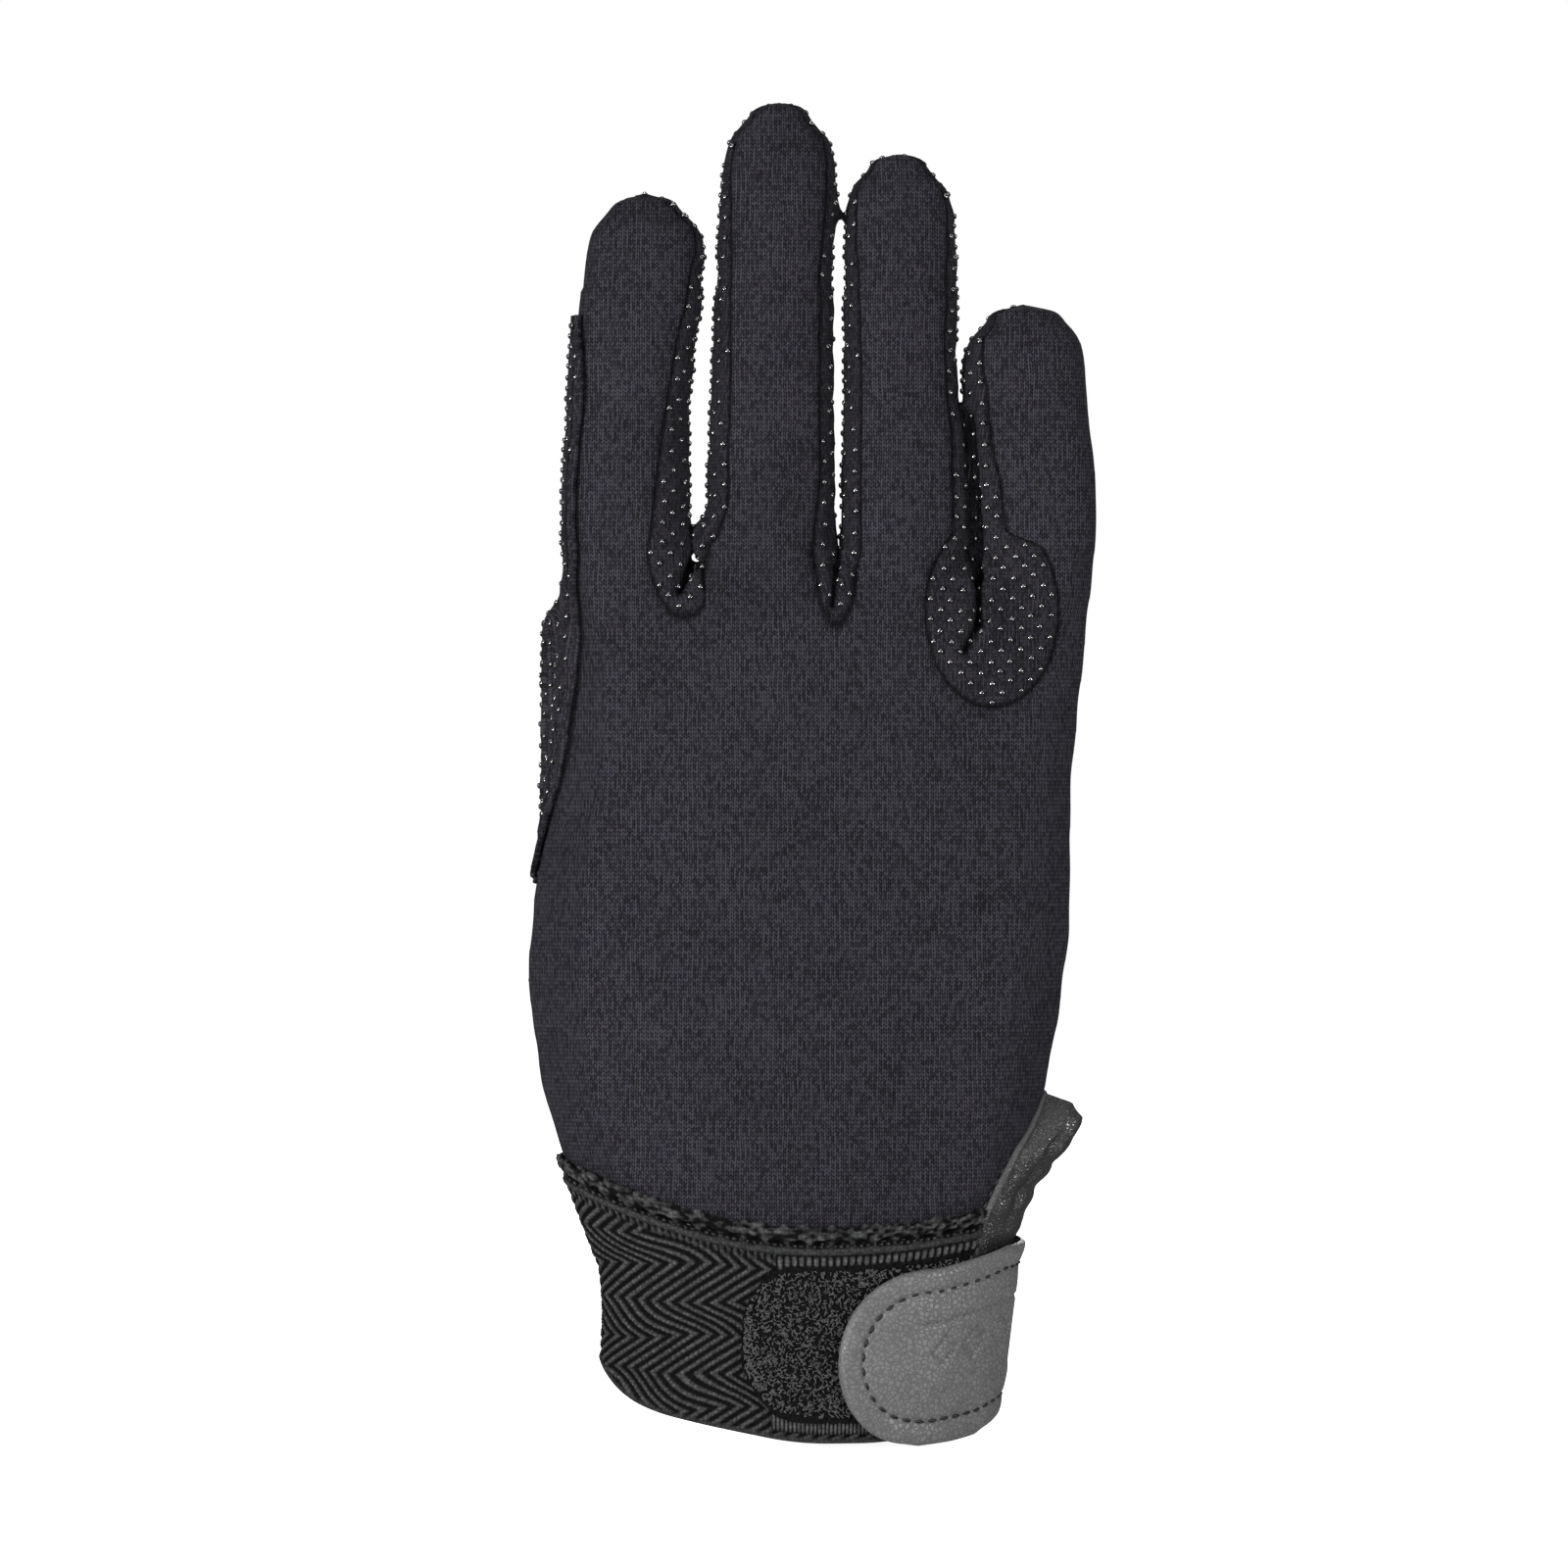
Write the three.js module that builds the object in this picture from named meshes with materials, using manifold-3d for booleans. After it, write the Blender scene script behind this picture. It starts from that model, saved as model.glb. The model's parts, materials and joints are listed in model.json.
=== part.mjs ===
// A right-hand sports glove with a dotted grip palm, shown as it sits on a raised hand.
// Millimetres. The origin is the middle of the wrist opening, +Z runs to the fingertips,
// -Y is the back of the hand and +X is the little finger's side.
// Angles round the hand run from 0 at the little finger's side (+X) through 90 at the back (-Y),
// 180 at the index finger's side (-X) and 270 at the palm (+Y).
import * as THREE from "three";
import { mergeVertices } from "three/addons/utils/BufferGeometryUtils.js";
import Module from "manifold-3d";

const wasm = await Module();
wasm.setup();
const { degToRad, lerp, clamp, smoothstep } = THREE.MathUtils;

// Driving dimensions
const FABRIC = 1.4; // a knitted panel
const ELASTIC = 1.6; // the woven wrist elastic
const LEATHER = 1.2; // the synthetic leather of the vent and the strap
const SEAM_GAP = 0.35; // between neighbouring panels
const KNUCKLE_Y = 4; // how far the fold line of the fingers lies from the middle of the hand
const KNUCKLE_FLEX = 75; // how far a finger folds towards the palm, in degrees
const KNUCKLE_LIFT = 15; // how far it lifts back
const KNUCKLE_GAP = 0.7; // half of the room left at the fold line itself
const CUFF_HEIGHT = 35;

// Colours
const JERSEY = 0x1b1b21;
const DOTTED = 0x141416;
const WEBBING = 0x18181a;
const LEATHER_GREY = 0x3a3a3d;

// A smooth function through hand-picked [at, value] stations, held flat past its ends.
function profile(stations) {
  const slope = (i) => {
    const a = stations[Math.max(i - 1, 0)];
    const b = stations[Math.min(i + 1, stations.length - 1)];
    return (b[1] - a[1]) / (b[0] - a[0]);
  };
  return (at) => {
    const last = stations.length - 1;
    const x = clamp(at, stations[0][0], stations[last][0]);
    let i = 0;
    while (i < last - 1 && x > stations[i + 1][0]) i += 1;
    const [x0, y0] = stations[i];
    const [x1, y1] = stations[i + 1];
    const h = x1 - x0;
    const t = (x - x0) / h;
    const rise = (1 - t) ** 2 * t * slope(i) * h - t * t * (1 - t) * slope(i + 1) * h;
    return y0 + (y1 - y0) * t * t * (3 - 2 * t) + rise;
  };
}

// The hand: [height, index side's x, little finger side's x, half depth]
const HAND_STATIONS = [
  [0, -36, 28.6, 18],
  [14, -36, 30.8, 18],
  [32, -36.5, 33.4, 18],
  [47, -41.5, 38.0, 16.5],
  [62, -46, 41.0, 15.5],
  [80, -48.5, 44.8, 15],
  [100, -46.5, 45.5, 14.5],
  [120, -43.5, 46, 13],
  [140, -42.3, 48.3, 11],
  [158, -42, 50, 9.2],
];

// The fingers: dome is where the rounded tip starts, and stations are
// [height, index side's x, little finger side's x].
const KNUCKLE = 158; // the height of the line that the fingers fold about
const FINGERS = {
  index: {
    dome: 203, tip: 217, tipX: -28.3, depth: 7.9,
    stations: [[KNUCKLE, -41.5, -20.6], [182, -40.5, -20.8], [199, -39.1, -18.6], [206, -38.5, -17.8]],
  },
  middle: {
    dome: 213, tip: 233, tipX: -5.0, depth: 8.0,
    stations: [[KNUCKLE, -17.4, 4.5], [182, -16.5, 4.2], [204, -15.7, 4.3], [216, -15.4, 5.6]],
  },
  ring: {
    dome: 206, tip: 224, tipX: 15.2, depth: 7.8,
    stations: [[KNUCKLE, 6.2, 27.7], [166, 6.3, 27.4], [184, 6.7, 25.6], [208, 6.4, 26.1]],
  },
  little: {
    dome: 182, tip: 197, tipX: 37.4, depth: 7.4,
    stations: [[KNUCKLE, 29.3, 50.1], [170, 28.0, 49.6], [184, 27.4, 48.2]],
  },
};
const FINGER_CURL = 5; // how far a long finger's tip leans towards the palm
const THUMB = { x: -35.7, y: 23.2, halfWidth: 11, depth: 8.2, pivot: 86, dome: 139, tip: 152 };

// A tube is a function from height to {x, y, w, d}: its middle and its half width and half depth.
function tubeThrough(stations, depth, lean = () => 0) {
  const left = profile(stations.map((s) => [s[0], s[1]]));
  const right = profile(stations.map((s) => [s[0], s[2]]));
  return (z) => ({
    x: (left(z) + right(z)) / 2,
    y: lean(z),
    w: (right(z) - left(z)) / 2,
    d: depth(z),
  });
}

const hand = tubeThrough(HAND_STATIONS, profile(HAND_STATIONS.map((s) => [s[0], s[3]])));

// Narrows a tube over its rounded tip, and brings its middle to tipX.
function domed(tube, dome, tip, tipX) {
  return (z) => {
    const s = tube(z);
    const rise = clamp((z - dome) / (tip - dome), 0, 1);
    const narrow = (1 - rise ** 2.2) ** (1 / 2.2);
    return { x: lerp(tipX, s.x, narrow), y: s.y, w: s.w * narrow, d: s.d * narrow };
  };
}

const fingerTubes = {};
for (const [name, f] of Object.entries(FINGERS)) {
  const lean = (z) => FINGER_CURL * clamp((z - KNUCKLE) / 75, 0, 1) ** 2;
  const straight = tubeThrough(f.stations, () => f.depth, lean);
  fingerTubes[name] = domed(straight, f.dome, f.tip, f.tipX);
}
const thumbTube = domed(
  () => ({ x: THUMB.x, y: THUMB.y, w: THUMB.halfWidth, d: THUMB.depth }),
  THUMB.dome, THUMB.tip, THUMB.x + 1,
);

// A point on a tube at an angle and a height, pushed out of its surface by out.
function onTube(tube, degrees, z, out = 0) {
  const s = tube(z);
  const a = degToRad(degrees);
  return [s.x + (s.w + out) * Math.cos(a), s.y - (s.d + out) * Math.sin(a), z];
}

// Merges a geometry into one closed surface with its faces pointing out.
function closed(geometry) {
  geometry.deleteAttribute("normal");
  geometry.deleteAttribute("uv");
  const merged = mergeVertices(geometry, 1e-4);
  const p = merged.attributes.position;
  const index = merged.index.array;
  const [a, b, c] = [new THREE.Vector3(), new THREE.Vector3(), new THREE.Vector3()];
  let volume = 0;
  for (let i = 0; i < index.length; i += 3) {
    a.fromBufferAttribute(p, index[i]);
    b.fromBufferAttribute(p, index[i + 1]);
    c.fromBufferAttribute(p, index[i + 2]);
    volume += a.dot(b.cross(c));
  }
  if (volume < 0) {
    for (let i = 0; i < index.length; i += 3) {
      [index[i + 1], index[i + 2]] = [index[i + 2], index[i + 1]];
    }
  }
  merged.computeVertexNormals();
  return merged;
}

// A closed sheet: a box grid bent by place(u, t, v), where u runs across, t through and v along it.
function sheet(place, across, along) {
  const g = new THREE.BoxGeometry(1, 1, 1, across, 1, along);
  const p = g.attributes.position;
  for (let i = 0; i < p.count; i += 1) {
    p.setXYZ(i, ...place(p.getX(i) + 0.5, p.getY(i) + 0.5, p.getZ(i) + 0.5));
  }
  return closed(g);
}

// A sheet on a tube between two angles, from low(angle) to high(angle), inner to outer off its surface.
function wall(tube, [from, to], low, high, [inner, outer], across, along) {
  const place = (u, t, v) => {
    const angle = lerp(from, to, u);
    const z = lerp(low(angle), high(angle), v);
    return onTube(tube, angle, z, lerp(inner, outer, t));
  };
  return sheet(place, across, along);
}

function solidOf(geometry) {
  const mesh = { numProp: 3 };
  mesh.vertProperties = new Float32Array(geometry.attributes.position.array);
  mesh.triVerts = new Uint32Array(geometry.index.array);
  return new wasm.Manifold(new wasm.Mesh(mesh));
}

function geometryOf(solid) {
  const mesh = solid.getMesh();
  const g = new THREE.BufferGeometry();
  g.setAttribute("position", new THREE.BufferAttribute(new Float32Array(mesh.vertProperties), 3));
  g.setIndex(new THREE.BufferAttribute(new Uint32Array(mesh.triVerts), 1));
  g.computeVertexNormals();
  return g;
}

// An upright-to-Y cylinder at x, z: the cutter for holes through the palm.
function bar(radius, x, z, stretch = 1) {
  const g = new THREE.CylinderGeometry(radius, radius, 60, 28);
  g.scale(1, 1, stretch);
  g.translate(x, 23, z);
  return solidOf(closed(g));
}

// The V-shaped room that a folding finger needs at its knuckle, seen from the side:
// half of it is cut from the hand and half from the finger.
function foldRoom(y) {
  const half = y > KNUCKLE_Y ? KNUCKLE_FLEX / 2 : KNUCKLE_LIFT / 2;
  return KNUCKLE_GAP + Math.abs(y - KNUCKLE_Y) * Math.tan(degToRad(half));
}

// The edges of the wrist elastic, by angle: it dips at the back and at the palm.
const CUFF_START = 32;
const CUFF_END = 325;
const cuffTop = profile([[32, 38], [90, CUFF_HEIGHT], [135, 41], [180, 47], [270, 45], [325, 46]]);
const cuffBottom = profile([
  [0, 3], [32, 3], [60, 0], [90, 0.5], [130, 4], [155, 9], [180, 13], [225, 8], [270, 0.5], [325, 2],
]);

// The vent at the little finger's side of the wrist, and the piped edge that bounds it
const VENT_TOP = 59;
const ventEdge = profile([[3, VENT_TOP], [12, 54], [22, 46], [32, 38]]);

const glove = new THREE.Group();
const materials = {};
function add(name, geometry, color, roughness = 0.9) {
  materials[color] ??= new THREE.MeshStandardMaterial({ color, roughness, metalness: 0 });
  const mesh = new THREE.Mesh(geometry, materials[color]);
  mesh.name = name;
  glove.add(mesh);
}

// The hand's knitted back, which wraps round the little finger's side, and its dotted palm
const BACK_FROM = -33;
const BACK_TO = 184;
const handTop = (angle) => {
  const [, y] = onTube(hand, angle, KNUCKLE - 4);
  return KNUCKLE - foldRoom(y);
};
function backLow(angle) {
  if (angle < 3) return VENT_TOP + 0.6;
  return (angle < CUFF_START ? ventEdge(angle) : cuffTop(angle)) + 0.6;
}
add("back_panel", wall(hand, [BACK_FROM, BACK_TO], backLow, handTop, [-FABRIC, 0], 34, 7), JERSEY);

const THUMB_HOLE = { radius: 9.2, z: 76, stretch: 1.45 };
const palmSheet = wall(
  hand, [BACK_TO + 2, 360 + BACK_FROM - 1.5], (angle) => cuffTop(angle) + 0.6, handTop, [-FABRIC, 0], 20, 9,
);
const thumbHole = bar(THUMB_HOLE.radius, THUMB.x + 2.5, THUMB_HOLE.z, THUMB_HOLE.stretch);
add("palm_panel", geometryOf(solidOf(palmSheet).subtract(thumbHole)), DOTTED);

// The webs: the folded ends of the strips between the fingers, arched from the back to the palm
const WEBS = {
  index_middle_web: { x: -19.2, top: 154, foot: 139, halfWidth: 1.5 },
  middle_ring_web: { x: 5.3, top: 152.5, foot: 138, halfWidth: 0.8 },
  ring_little_web: { x: 28.9, top: 154, foot: 131, halfWidth: 0.8 },
};
for (const [name, web] of Object.entries(WEBS)) {
  const s = hand(web.top);
  const across = (Math.abs(web.x - s.x) + web.halfWidth) / (s.w - FABRIC);
  const room = (s.d - FABRIC) * Math.sqrt(1 - across * across) - SEAM_GAP;
  const place = (u, t, v) => {
    const a = Math.PI * v;
    const inset = (1 - t) * FABRIC;
    const reach = room - inset;
    const x = web.x + lerp(-web.halfWidth, web.halfWidth, u);
    return [x, -reach * Math.cos(a), web.foot + (web.top - web.foot - inset) * Math.sin(a)];
  };
  add(name, sheet(place, 1, 12), DOTTED);
}

// The wrist elastic, the covered seam above it and the loop tape on its back
const onCuff = (angle, z, out) => onTube(hand, angle, z, out);
add("cuff_elastic", wall(hand, [CUFF_START + 0.6, CUFF_END], cuffBottom, cuffTop, [-ELASTIC, 0], 28, 2), WEBBING);
const SEAM_BAND = { width: 4.6, thick: 1.0 };
add("wrist_seam_band", wall(
  hand, [CUFF_START + 2, CUFF_END],
  (a) => cuffTop(a) - SEAM_BAND.width / 2, (a) => cuffTop(a) + SEAM_BAND.width / 2,
  [SEAM_GAP, SEAM_GAP + SEAM_BAND.thick], 26, 1,
), WEBBING);

// Layers on the outside of the elastic, from the inside out
const LOOP = [SEAM_GAP, SEAM_GAP + 0.9];
const HOOK = [LOOP[1] + SEAM_GAP, LOOP[1] + SEAM_GAP + 0.7];
const STRAP = [HOOK[1] + SEAM_GAP, HOOK[1] + SEAM_GAP + LEATHER];
const LOOP_TO = 102;
const loopBottom = (a) => cuffBottom(a) + 3.2 + 8 * smoothstep(a, LOOP_TO - 9, LOOP_TO + 1);
const loopTop = (a) => cuffTop(a) - 4.0 - 7 * smoothstep(a, LOOP_TO - 9, LOOP_TO + 1);
add("loop_tape", wall(hand, [CUFF_START + 3, LOOP_TO], loopBottom, loopTop, LOOP, 16, 2), DOTTED);

// The vent: leather facings on both sides of its slit, a piped edge, and the gathered gusset at its top
add("vent_facing_back", wall(
  hand, [2.5, CUFF_START - 1], cuffBottom, (a) => ventEdge(a) - 0.8, [-LEATHER, 0], 6, 4,
), LEATHER_GREY, 0.5);
add("vent_facing_palm", wall(
  hand, [BACK_FROM, -2], (a) => cuffBottom(Math.max(0, a) + 2), () => VENT_TOP - 1.5, [-LEATHER, 0], 7, 4,
), LEATHER_GREY, 0.5);
const GUSSET = { from: -13, to: 21, low: 38, high: 62, bulge: 5.6 };
const gussetPlace = (u, t, v) => {
  const swell = GUSSET.bulge * Math.sin(Math.PI * u) * Math.sin(Math.PI * v) ** 1.4;
  const out = t < 0.5 ? SEAM_GAP : SEAM_GAP + 0.8 + swell;
  return onTube(hand, lerp(GUSSET.from, GUSSET.to, u), lerp(GUSSET.low, GUSSET.high, v), out);
};
add("vent_gusset", sheet(gussetPlace, 8, 8), LEATHER_GREY, 0.5);

const PIPING_RADIUS = 0.7;
class PipingPath extends THREE.Curve {
  getPoint(t, target = new THREE.Vector3()) {
    const angle = lerp(CUFF_START + 1.0, GUSSET.to + 2.4, t);
    const z = lerp(cuffTop(CUFF_START) + 4.2, ventEdge(GUSSET.to), t);
    return target.set(...onCuff(angle, z, PIPING_RADIUS + 0.35));
  }
}
const pipingSection = new THREE.Shape().absarc(0, 0, PIPING_RADIUS, 0, Math.PI * 2);
add("vent_piping", closed(new THREE.ExtrudeGeometry(pipingSection, {
  steps: 10, curveSegments: 4, bevelEnabled: false, extrudePath: new PipingPath(),
})), LEATHER_GREY, 0.5);

// The strap: its sewn root on the palm side, its free tab over the back, and the hook tape under it
const STRAP_HEIGHT = 30;
const STRAP_FOLD = -22; // the angle of the fold that the tab swings about
const STRAP_TIP = 81;
const strapMiddle = profile([[-95, 20], [-22, 20.5], [20, 19], [50, 15.4], [81, 14.8]]);
const strapHalf = (angle, end, turn) => {
  const reach = Math.min(Math.abs(angle - end) / turn, 1);
  return Math.max(2.2, (STRAP_HEIGHT / 2) * Math.sqrt(1 - (1 - reach) ** 2));
};
const strapRound = (angle) => strapHalf(angle, STRAP_TIP, 18);
add("strap_tab", wall(
  hand, [STRAP_FOLD + 1.5, STRAP_TIP],
  (a) => strapMiddle(a) - strapRound(a), (a) => strapMiddle(a) + strapRound(a), STRAP, 26, 2,
), LEATHER_GREY, 0.5);
add("hook_tape", wall(
  hand, [40, STRAP_TIP - 6],
  (a) => strapMiddle(a) - strapRound(a) + 3.5, (a) => strapMiddle(a) + strapRound(a) - 3.5, HOOK, 10, 1,
), DOTTED);
const ROOT_END = -88;
add("strap_root", wall(
  hand, [ROOT_END, STRAP_FOLD - 1.5],
  (a) => strapMiddle(a) - STRAP_HEIGHT / 2, (a) => strapMiddle(a) + STRAP_HEIGHT / 2,
  [SEAM_GAP + 1.0, SEAM_GAP + 1.0 + LEATHER], 12, 1,
), LEATHER_GREY, 0.5);

// The patch that reinforces the index finger's side, below and above the knuckle
const PATCH = [SEAM_GAP, SEAM_GAP + 1.0];
const PATCH_FOOT = 96;
const PATCH_TOP = 194;
const PATCH_ANGLES = [172, 200];
const PATCH_SPLIT = 3.8; // half of the gap between its two lengths, at the knuckle
const flat = (z) => () => z;
add("index_patch_lower", wall(
  hand, PATCH_ANGLES, flat(PATCH_FOOT), flat(KNUCKLE - PATCH_SPLIT), PATCH, 5, 7,
), DOTTED);
add("index_patch_upper", wall(
  fingerTubes.index, PATCH_ANGLES, flat(KNUCKLE + PATCH_SPLIT), flat(PATCH_TOP), PATCH, 5, 5,
), DOTTED);

// The fingers: a knitted back, a dotted palm and dotted side strips.
// The index and little fingers' backs wrap round their outer sides.
const PANELS = {
  index: { back: [28, 196], palm: [198.5, 334], fourchette_ulnar: [336.5, 385.5] },
  middle: {
    fourchette_ulnar: [-24, 25], back: [27.5, 152], fourchette_radial: [154.5, 204], palm: [206.5, 333.5],
  },
  ring: {
    fourchette_ulnar: [-24, 25], back: [27.5, 152], fourchette_radial: [154.5, 204], palm: [206.5, 333.5],
  },
  little: { back: [-26, 146], fourchette_radial: [148.5, 204], palm: [206.5, 331.5] },
};
const STEPS_PER_DEGREE = 1 / 16;
for (const [finger, panels] of Object.entries(PANELS)) {
  const f = FINGERS[finger];
  const tube = fingerTubes[finger];
  const low = (angle) => KNUCKLE + foldRoom(onTube(tube, angle, KNUCKLE)[1]);
  for (const [part, angles] of Object.entries(panels)) {
    const across = Math.max(3, Math.round((angles[1] - angles[0]) * STEPS_PER_DEGREE));
    const top = f.tip - (part.startsWith("fourchette") ? 5 : 1.2);
    const place = (u, t, v) => {
      const angle = lerp(angles[0], angles[1], u);
      const z = lerp(low(angle), top, v ** 0.8);
      return onTube(tube, angle, z, lerp(-FABRIC, 0, t));
    };
    const color = part === "back" ? JERSEY : DOTTED;
    add(`${finger}_${part}`, sheet(place, across, 8), color);
  }
}

// The thumb, folded across the palm: two dotted halves on a pivot, and the gusset it is set into
const thumbEnd = (angle) => {
  const [x] = onTube(thumbTube, angle, THUMB.pivot + 20);
  const side = clamp((x - THUMB.x) / THUMB.halfWidth, -1, 1);
  return THUMB.pivot - (THUMB.halfWidth - 1) * Math.sqrt(1 - side * side) * 0.8 + 1;
};
const thumbHalves = { thumb_inner: [2, 178], thumb_outer: [182, 358] };
for (const [name, angles] of Object.entries(thumbHalves)) {
  add(name, wall(thumbTube, angles, thumbEnd, flat(THUMB.tip - 1.2), [-FABRIC, 0], 10, 8), DOTTED);
}
const mound = (z) => {
  const s = hand(z);
  const rise = smoothstep(z, 44, 84);
  return { x: lerp(-26, THUMB.x + 0.5, rise), y: 0, w: lerp(14, 13, rise), d: lerp(s.d - 3, 29, rise) };
};
const moundSheet = wall(mound, [208, 332], flat(52), flat(88), [-FABRIC, 0], 14, 8);
const thumbSweep = bar(THUMB.halfWidth + 0.6, THUMB.x, THUMB.pivot);
const handBulk = wall(hand, [0, 360], flat(40), flat(100), [-12, 0.35], 48, 10);
add("thumb_gusset", geometryOf(solidOf(moundSheet).subtract(thumbSweep).subtract(solidOf(handBulk))), DOTTED);

export default glove;
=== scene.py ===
"""A right-hand knitted sports glove with a dotted grip palm, standing as it sits on a raised hand.

The glove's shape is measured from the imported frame. Lengths here are in millimetres and are turned
into metres when a mesh is made. +Z runs to the fingertips, -Y is the back of the hand and +X is the
little finger's side. Angles round a tube run from 0 at +X through 90 at the back to 270 at the palm.
"""
import json
import math

import bmesh
import bpy
import numpy as np
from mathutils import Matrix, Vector
from mathutils.bvhtree import BVHTree
from mathutils.kdtree import KDTree


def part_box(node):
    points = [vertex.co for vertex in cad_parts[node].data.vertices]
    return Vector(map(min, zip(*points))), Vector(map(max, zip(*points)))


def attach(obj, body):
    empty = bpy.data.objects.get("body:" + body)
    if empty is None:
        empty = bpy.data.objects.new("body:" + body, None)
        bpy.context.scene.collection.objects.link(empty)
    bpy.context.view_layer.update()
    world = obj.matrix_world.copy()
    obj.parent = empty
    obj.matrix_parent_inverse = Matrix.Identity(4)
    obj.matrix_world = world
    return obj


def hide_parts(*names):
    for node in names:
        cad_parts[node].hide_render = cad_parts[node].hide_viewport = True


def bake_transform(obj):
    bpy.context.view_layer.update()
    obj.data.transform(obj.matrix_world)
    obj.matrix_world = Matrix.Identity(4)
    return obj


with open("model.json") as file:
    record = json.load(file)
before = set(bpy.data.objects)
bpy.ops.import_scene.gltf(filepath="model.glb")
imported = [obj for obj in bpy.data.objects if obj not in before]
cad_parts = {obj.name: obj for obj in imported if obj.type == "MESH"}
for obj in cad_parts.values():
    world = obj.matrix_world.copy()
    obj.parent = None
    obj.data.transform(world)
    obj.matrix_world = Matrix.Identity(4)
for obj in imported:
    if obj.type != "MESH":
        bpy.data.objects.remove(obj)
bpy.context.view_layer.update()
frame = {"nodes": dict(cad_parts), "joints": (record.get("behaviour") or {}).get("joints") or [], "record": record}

MM = 0.001
RNG = np.random.default_rng(7)
FINGERS = ("index", "middle", "ring", "little")
KNUCKLE = frame["joints"][0]["pos_m"][2] / MM
GLOVE_AXIS = np.array([0.0, 4.0, 0.0])  # outer faces look away from the upright line through this point

# ---------------------------------------------------------------- small maths


def smooth(x, low, high):
    """0 below low, 1 above high, with a soft turn between."""
    t = np.clip((np.asarray(x, float) - low) / (high - low), 0, 1)
    return t * t * (3 - 2 * t)


def stations(table, soften=0.0):
    """A function that runs through [at, value] pairs, its corners rounded over soften on each side."""
    at, value = zip(*table)
    return lambda x: sum(np.interp(x + k * soften, at, value) for k in (-1, -0.5, 0, 0.5, 1)) / 5


def ridge(distance, width):
    """1 on a line and falling off softly to both sides of it."""
    return np.exp(-((distance / width) ** 2))


def wobble(points, size, seed=0.0):
    """A smooth field between about -1 and 1 that varies over size millimetres."""
    p = points / size * 2 * math.pi
    a = np.sin(p[:, 0] * 0.9 + p[:, 2] * 0.5 + seed) * np.cos(p[:, 1] * 0.8 - p[:, 2] * 0.3 + 2.1 * seed)
    b = np.sin(p[:, 2] * 1.1 - p[:, 0] * 0.45 + p[:, 1] * 0.6 + 1.7 * seed)
    return (a + b) / 2


# ---------------------------------------------------------------- meshes


def mesh_object(name, verts, faces, cloth=None):
    """A smooth-shaded object. cloth gives each vertex its place on the flat cloth, in millimetres."""
    mesh = bpy.data.meshes.new(name)
    mesh.from_pydata([tuple(v) for v in np.asarray(verts) * MM], [], faces)
    mesh.validate()
    mesh.shade_smooth()
    if cloth is not None:
        set_cloth(mesh, np.asarray(cloth))
    piece = bpy.data.objects.new(name, mesh)
    bpy.context.scene.collection.objects.link(piece)
    return piece


def set_cloth(mesh, cloth):
    layer = mesh.uv_layers.new(name="cloth")
    corner = np.zeros(len(mesh.loops), int)
    mesh.loops.foreach_get("vertex_index", corner)
    layer.data.foreach_set("uv", cloth[corner].astype(np.float32).ravel())


def coords(mesh):
    out = np.zeros(len(mesh.vertices) * 3, np.float32)
    mesh.vertices.foreach_get("co", out)
    return out.reshape(-1, 3).astype(float) / MM


def normals(mesh):
    out = np.zeros(len(mesh.vertices) * 3, np.float32)
    mesh.vertices.foreach_get("normal", out)
    return out.reshape(-1, 3).astype(float)


def set_attribute(mesh, name, values):
    """Gives each vertex a value that a material reads. A sheet's inner face takes its outer face's values."""
    values = np.resize(values, len(mesh.vertices)).astype(np.float32)
    mesh.attributes.new(name, "FLOAT", "POINT").data.foreach_set("value", values)


def tree_of(mesh):
    """A tree of the mesh's faces in millimetres, to cast rays at."""
    return BVHTree.FromPolygons([Vector(v) for v in coords(mesh)], [f.vertices[:] for f in mesh.polygons])


def set_coords(mesh, points):
    mesh.vertices.foreach_set("co", (points * MM).astype(np.float32).ravel())
    mesh.update()


def applied(piece):
    """Replaces the piece's mesh with what its modifiers make of it."""
    shaped = bpy.data.meshes.new_from_object(piece.evaluated_get(bpy.context.evaluated_depsgraph_get()))
    piece.modifiers.clear()
    piece.data = shaped
    shaped.shade_smooth()
    return piece


def thicken(piece, thickness, offset=-1.0):
    mod = piece.modifiers.new("Thickness", "SOLIDIFY")
    mod.thickness = thickness * MM
    mod.offset = offset
    mod.use_even_offset = False
    applied(piece)
    piece.data.set_sharp_from_angle(angle=math.radians(55))
    return piece


def grid_faces(columns, rows, wrap=False):
    """Quads over a grid of points stored row by row."""
    faces = []
    for j in range(rows - 1):
        for i in range(columns if wrap else columns - 1):
            k = (i + 1) % columns
            faces.append((j * columns + i, j * columns + k, (j + 1) * columns + k, (j + 1) * columns + i))
    return faces


def sheet_object(name, place, columns, rows, thickness):
    """A thin closed sheet over a grid.

    place(u, v) takes arrays from 0 to 1. It gives the outer face's points and their places on the flat
    cloth, and for a woven piece also how high each point's rib stands, from 0 to 1.
    """
    u, v = np.meshgrid(np.linspace(0, 1, columns), np.linspace(0, 1, rows))
    points, cloth, *ribs = place(u.ravel(), v.ravel())
    faces = grid_faces(columns, rows)
    grid = points.reshape(rows, columns, 3)
    middle = grid[rows // 2, columns // 2]
    step_u = grid[rows // 2, columns // 2 + 1] - middle
    step_v = grid[rows // 2 + 1, columns // 2] - middle
    if np.cross(step_u, step_v)[:2] @ (middle - GLOVE_AXIS)[:2] < 0:
        faces = [face[::-1] for face in faces]
    piece = thicken(mesh_object(name, points, faces, cloth), thickness)
    if ribs:
        # the elastic's material darkens where this is low: painted shade between the ribs
        set_attribute(piece.data, "rib", ribs[0])
    return piece


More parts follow.
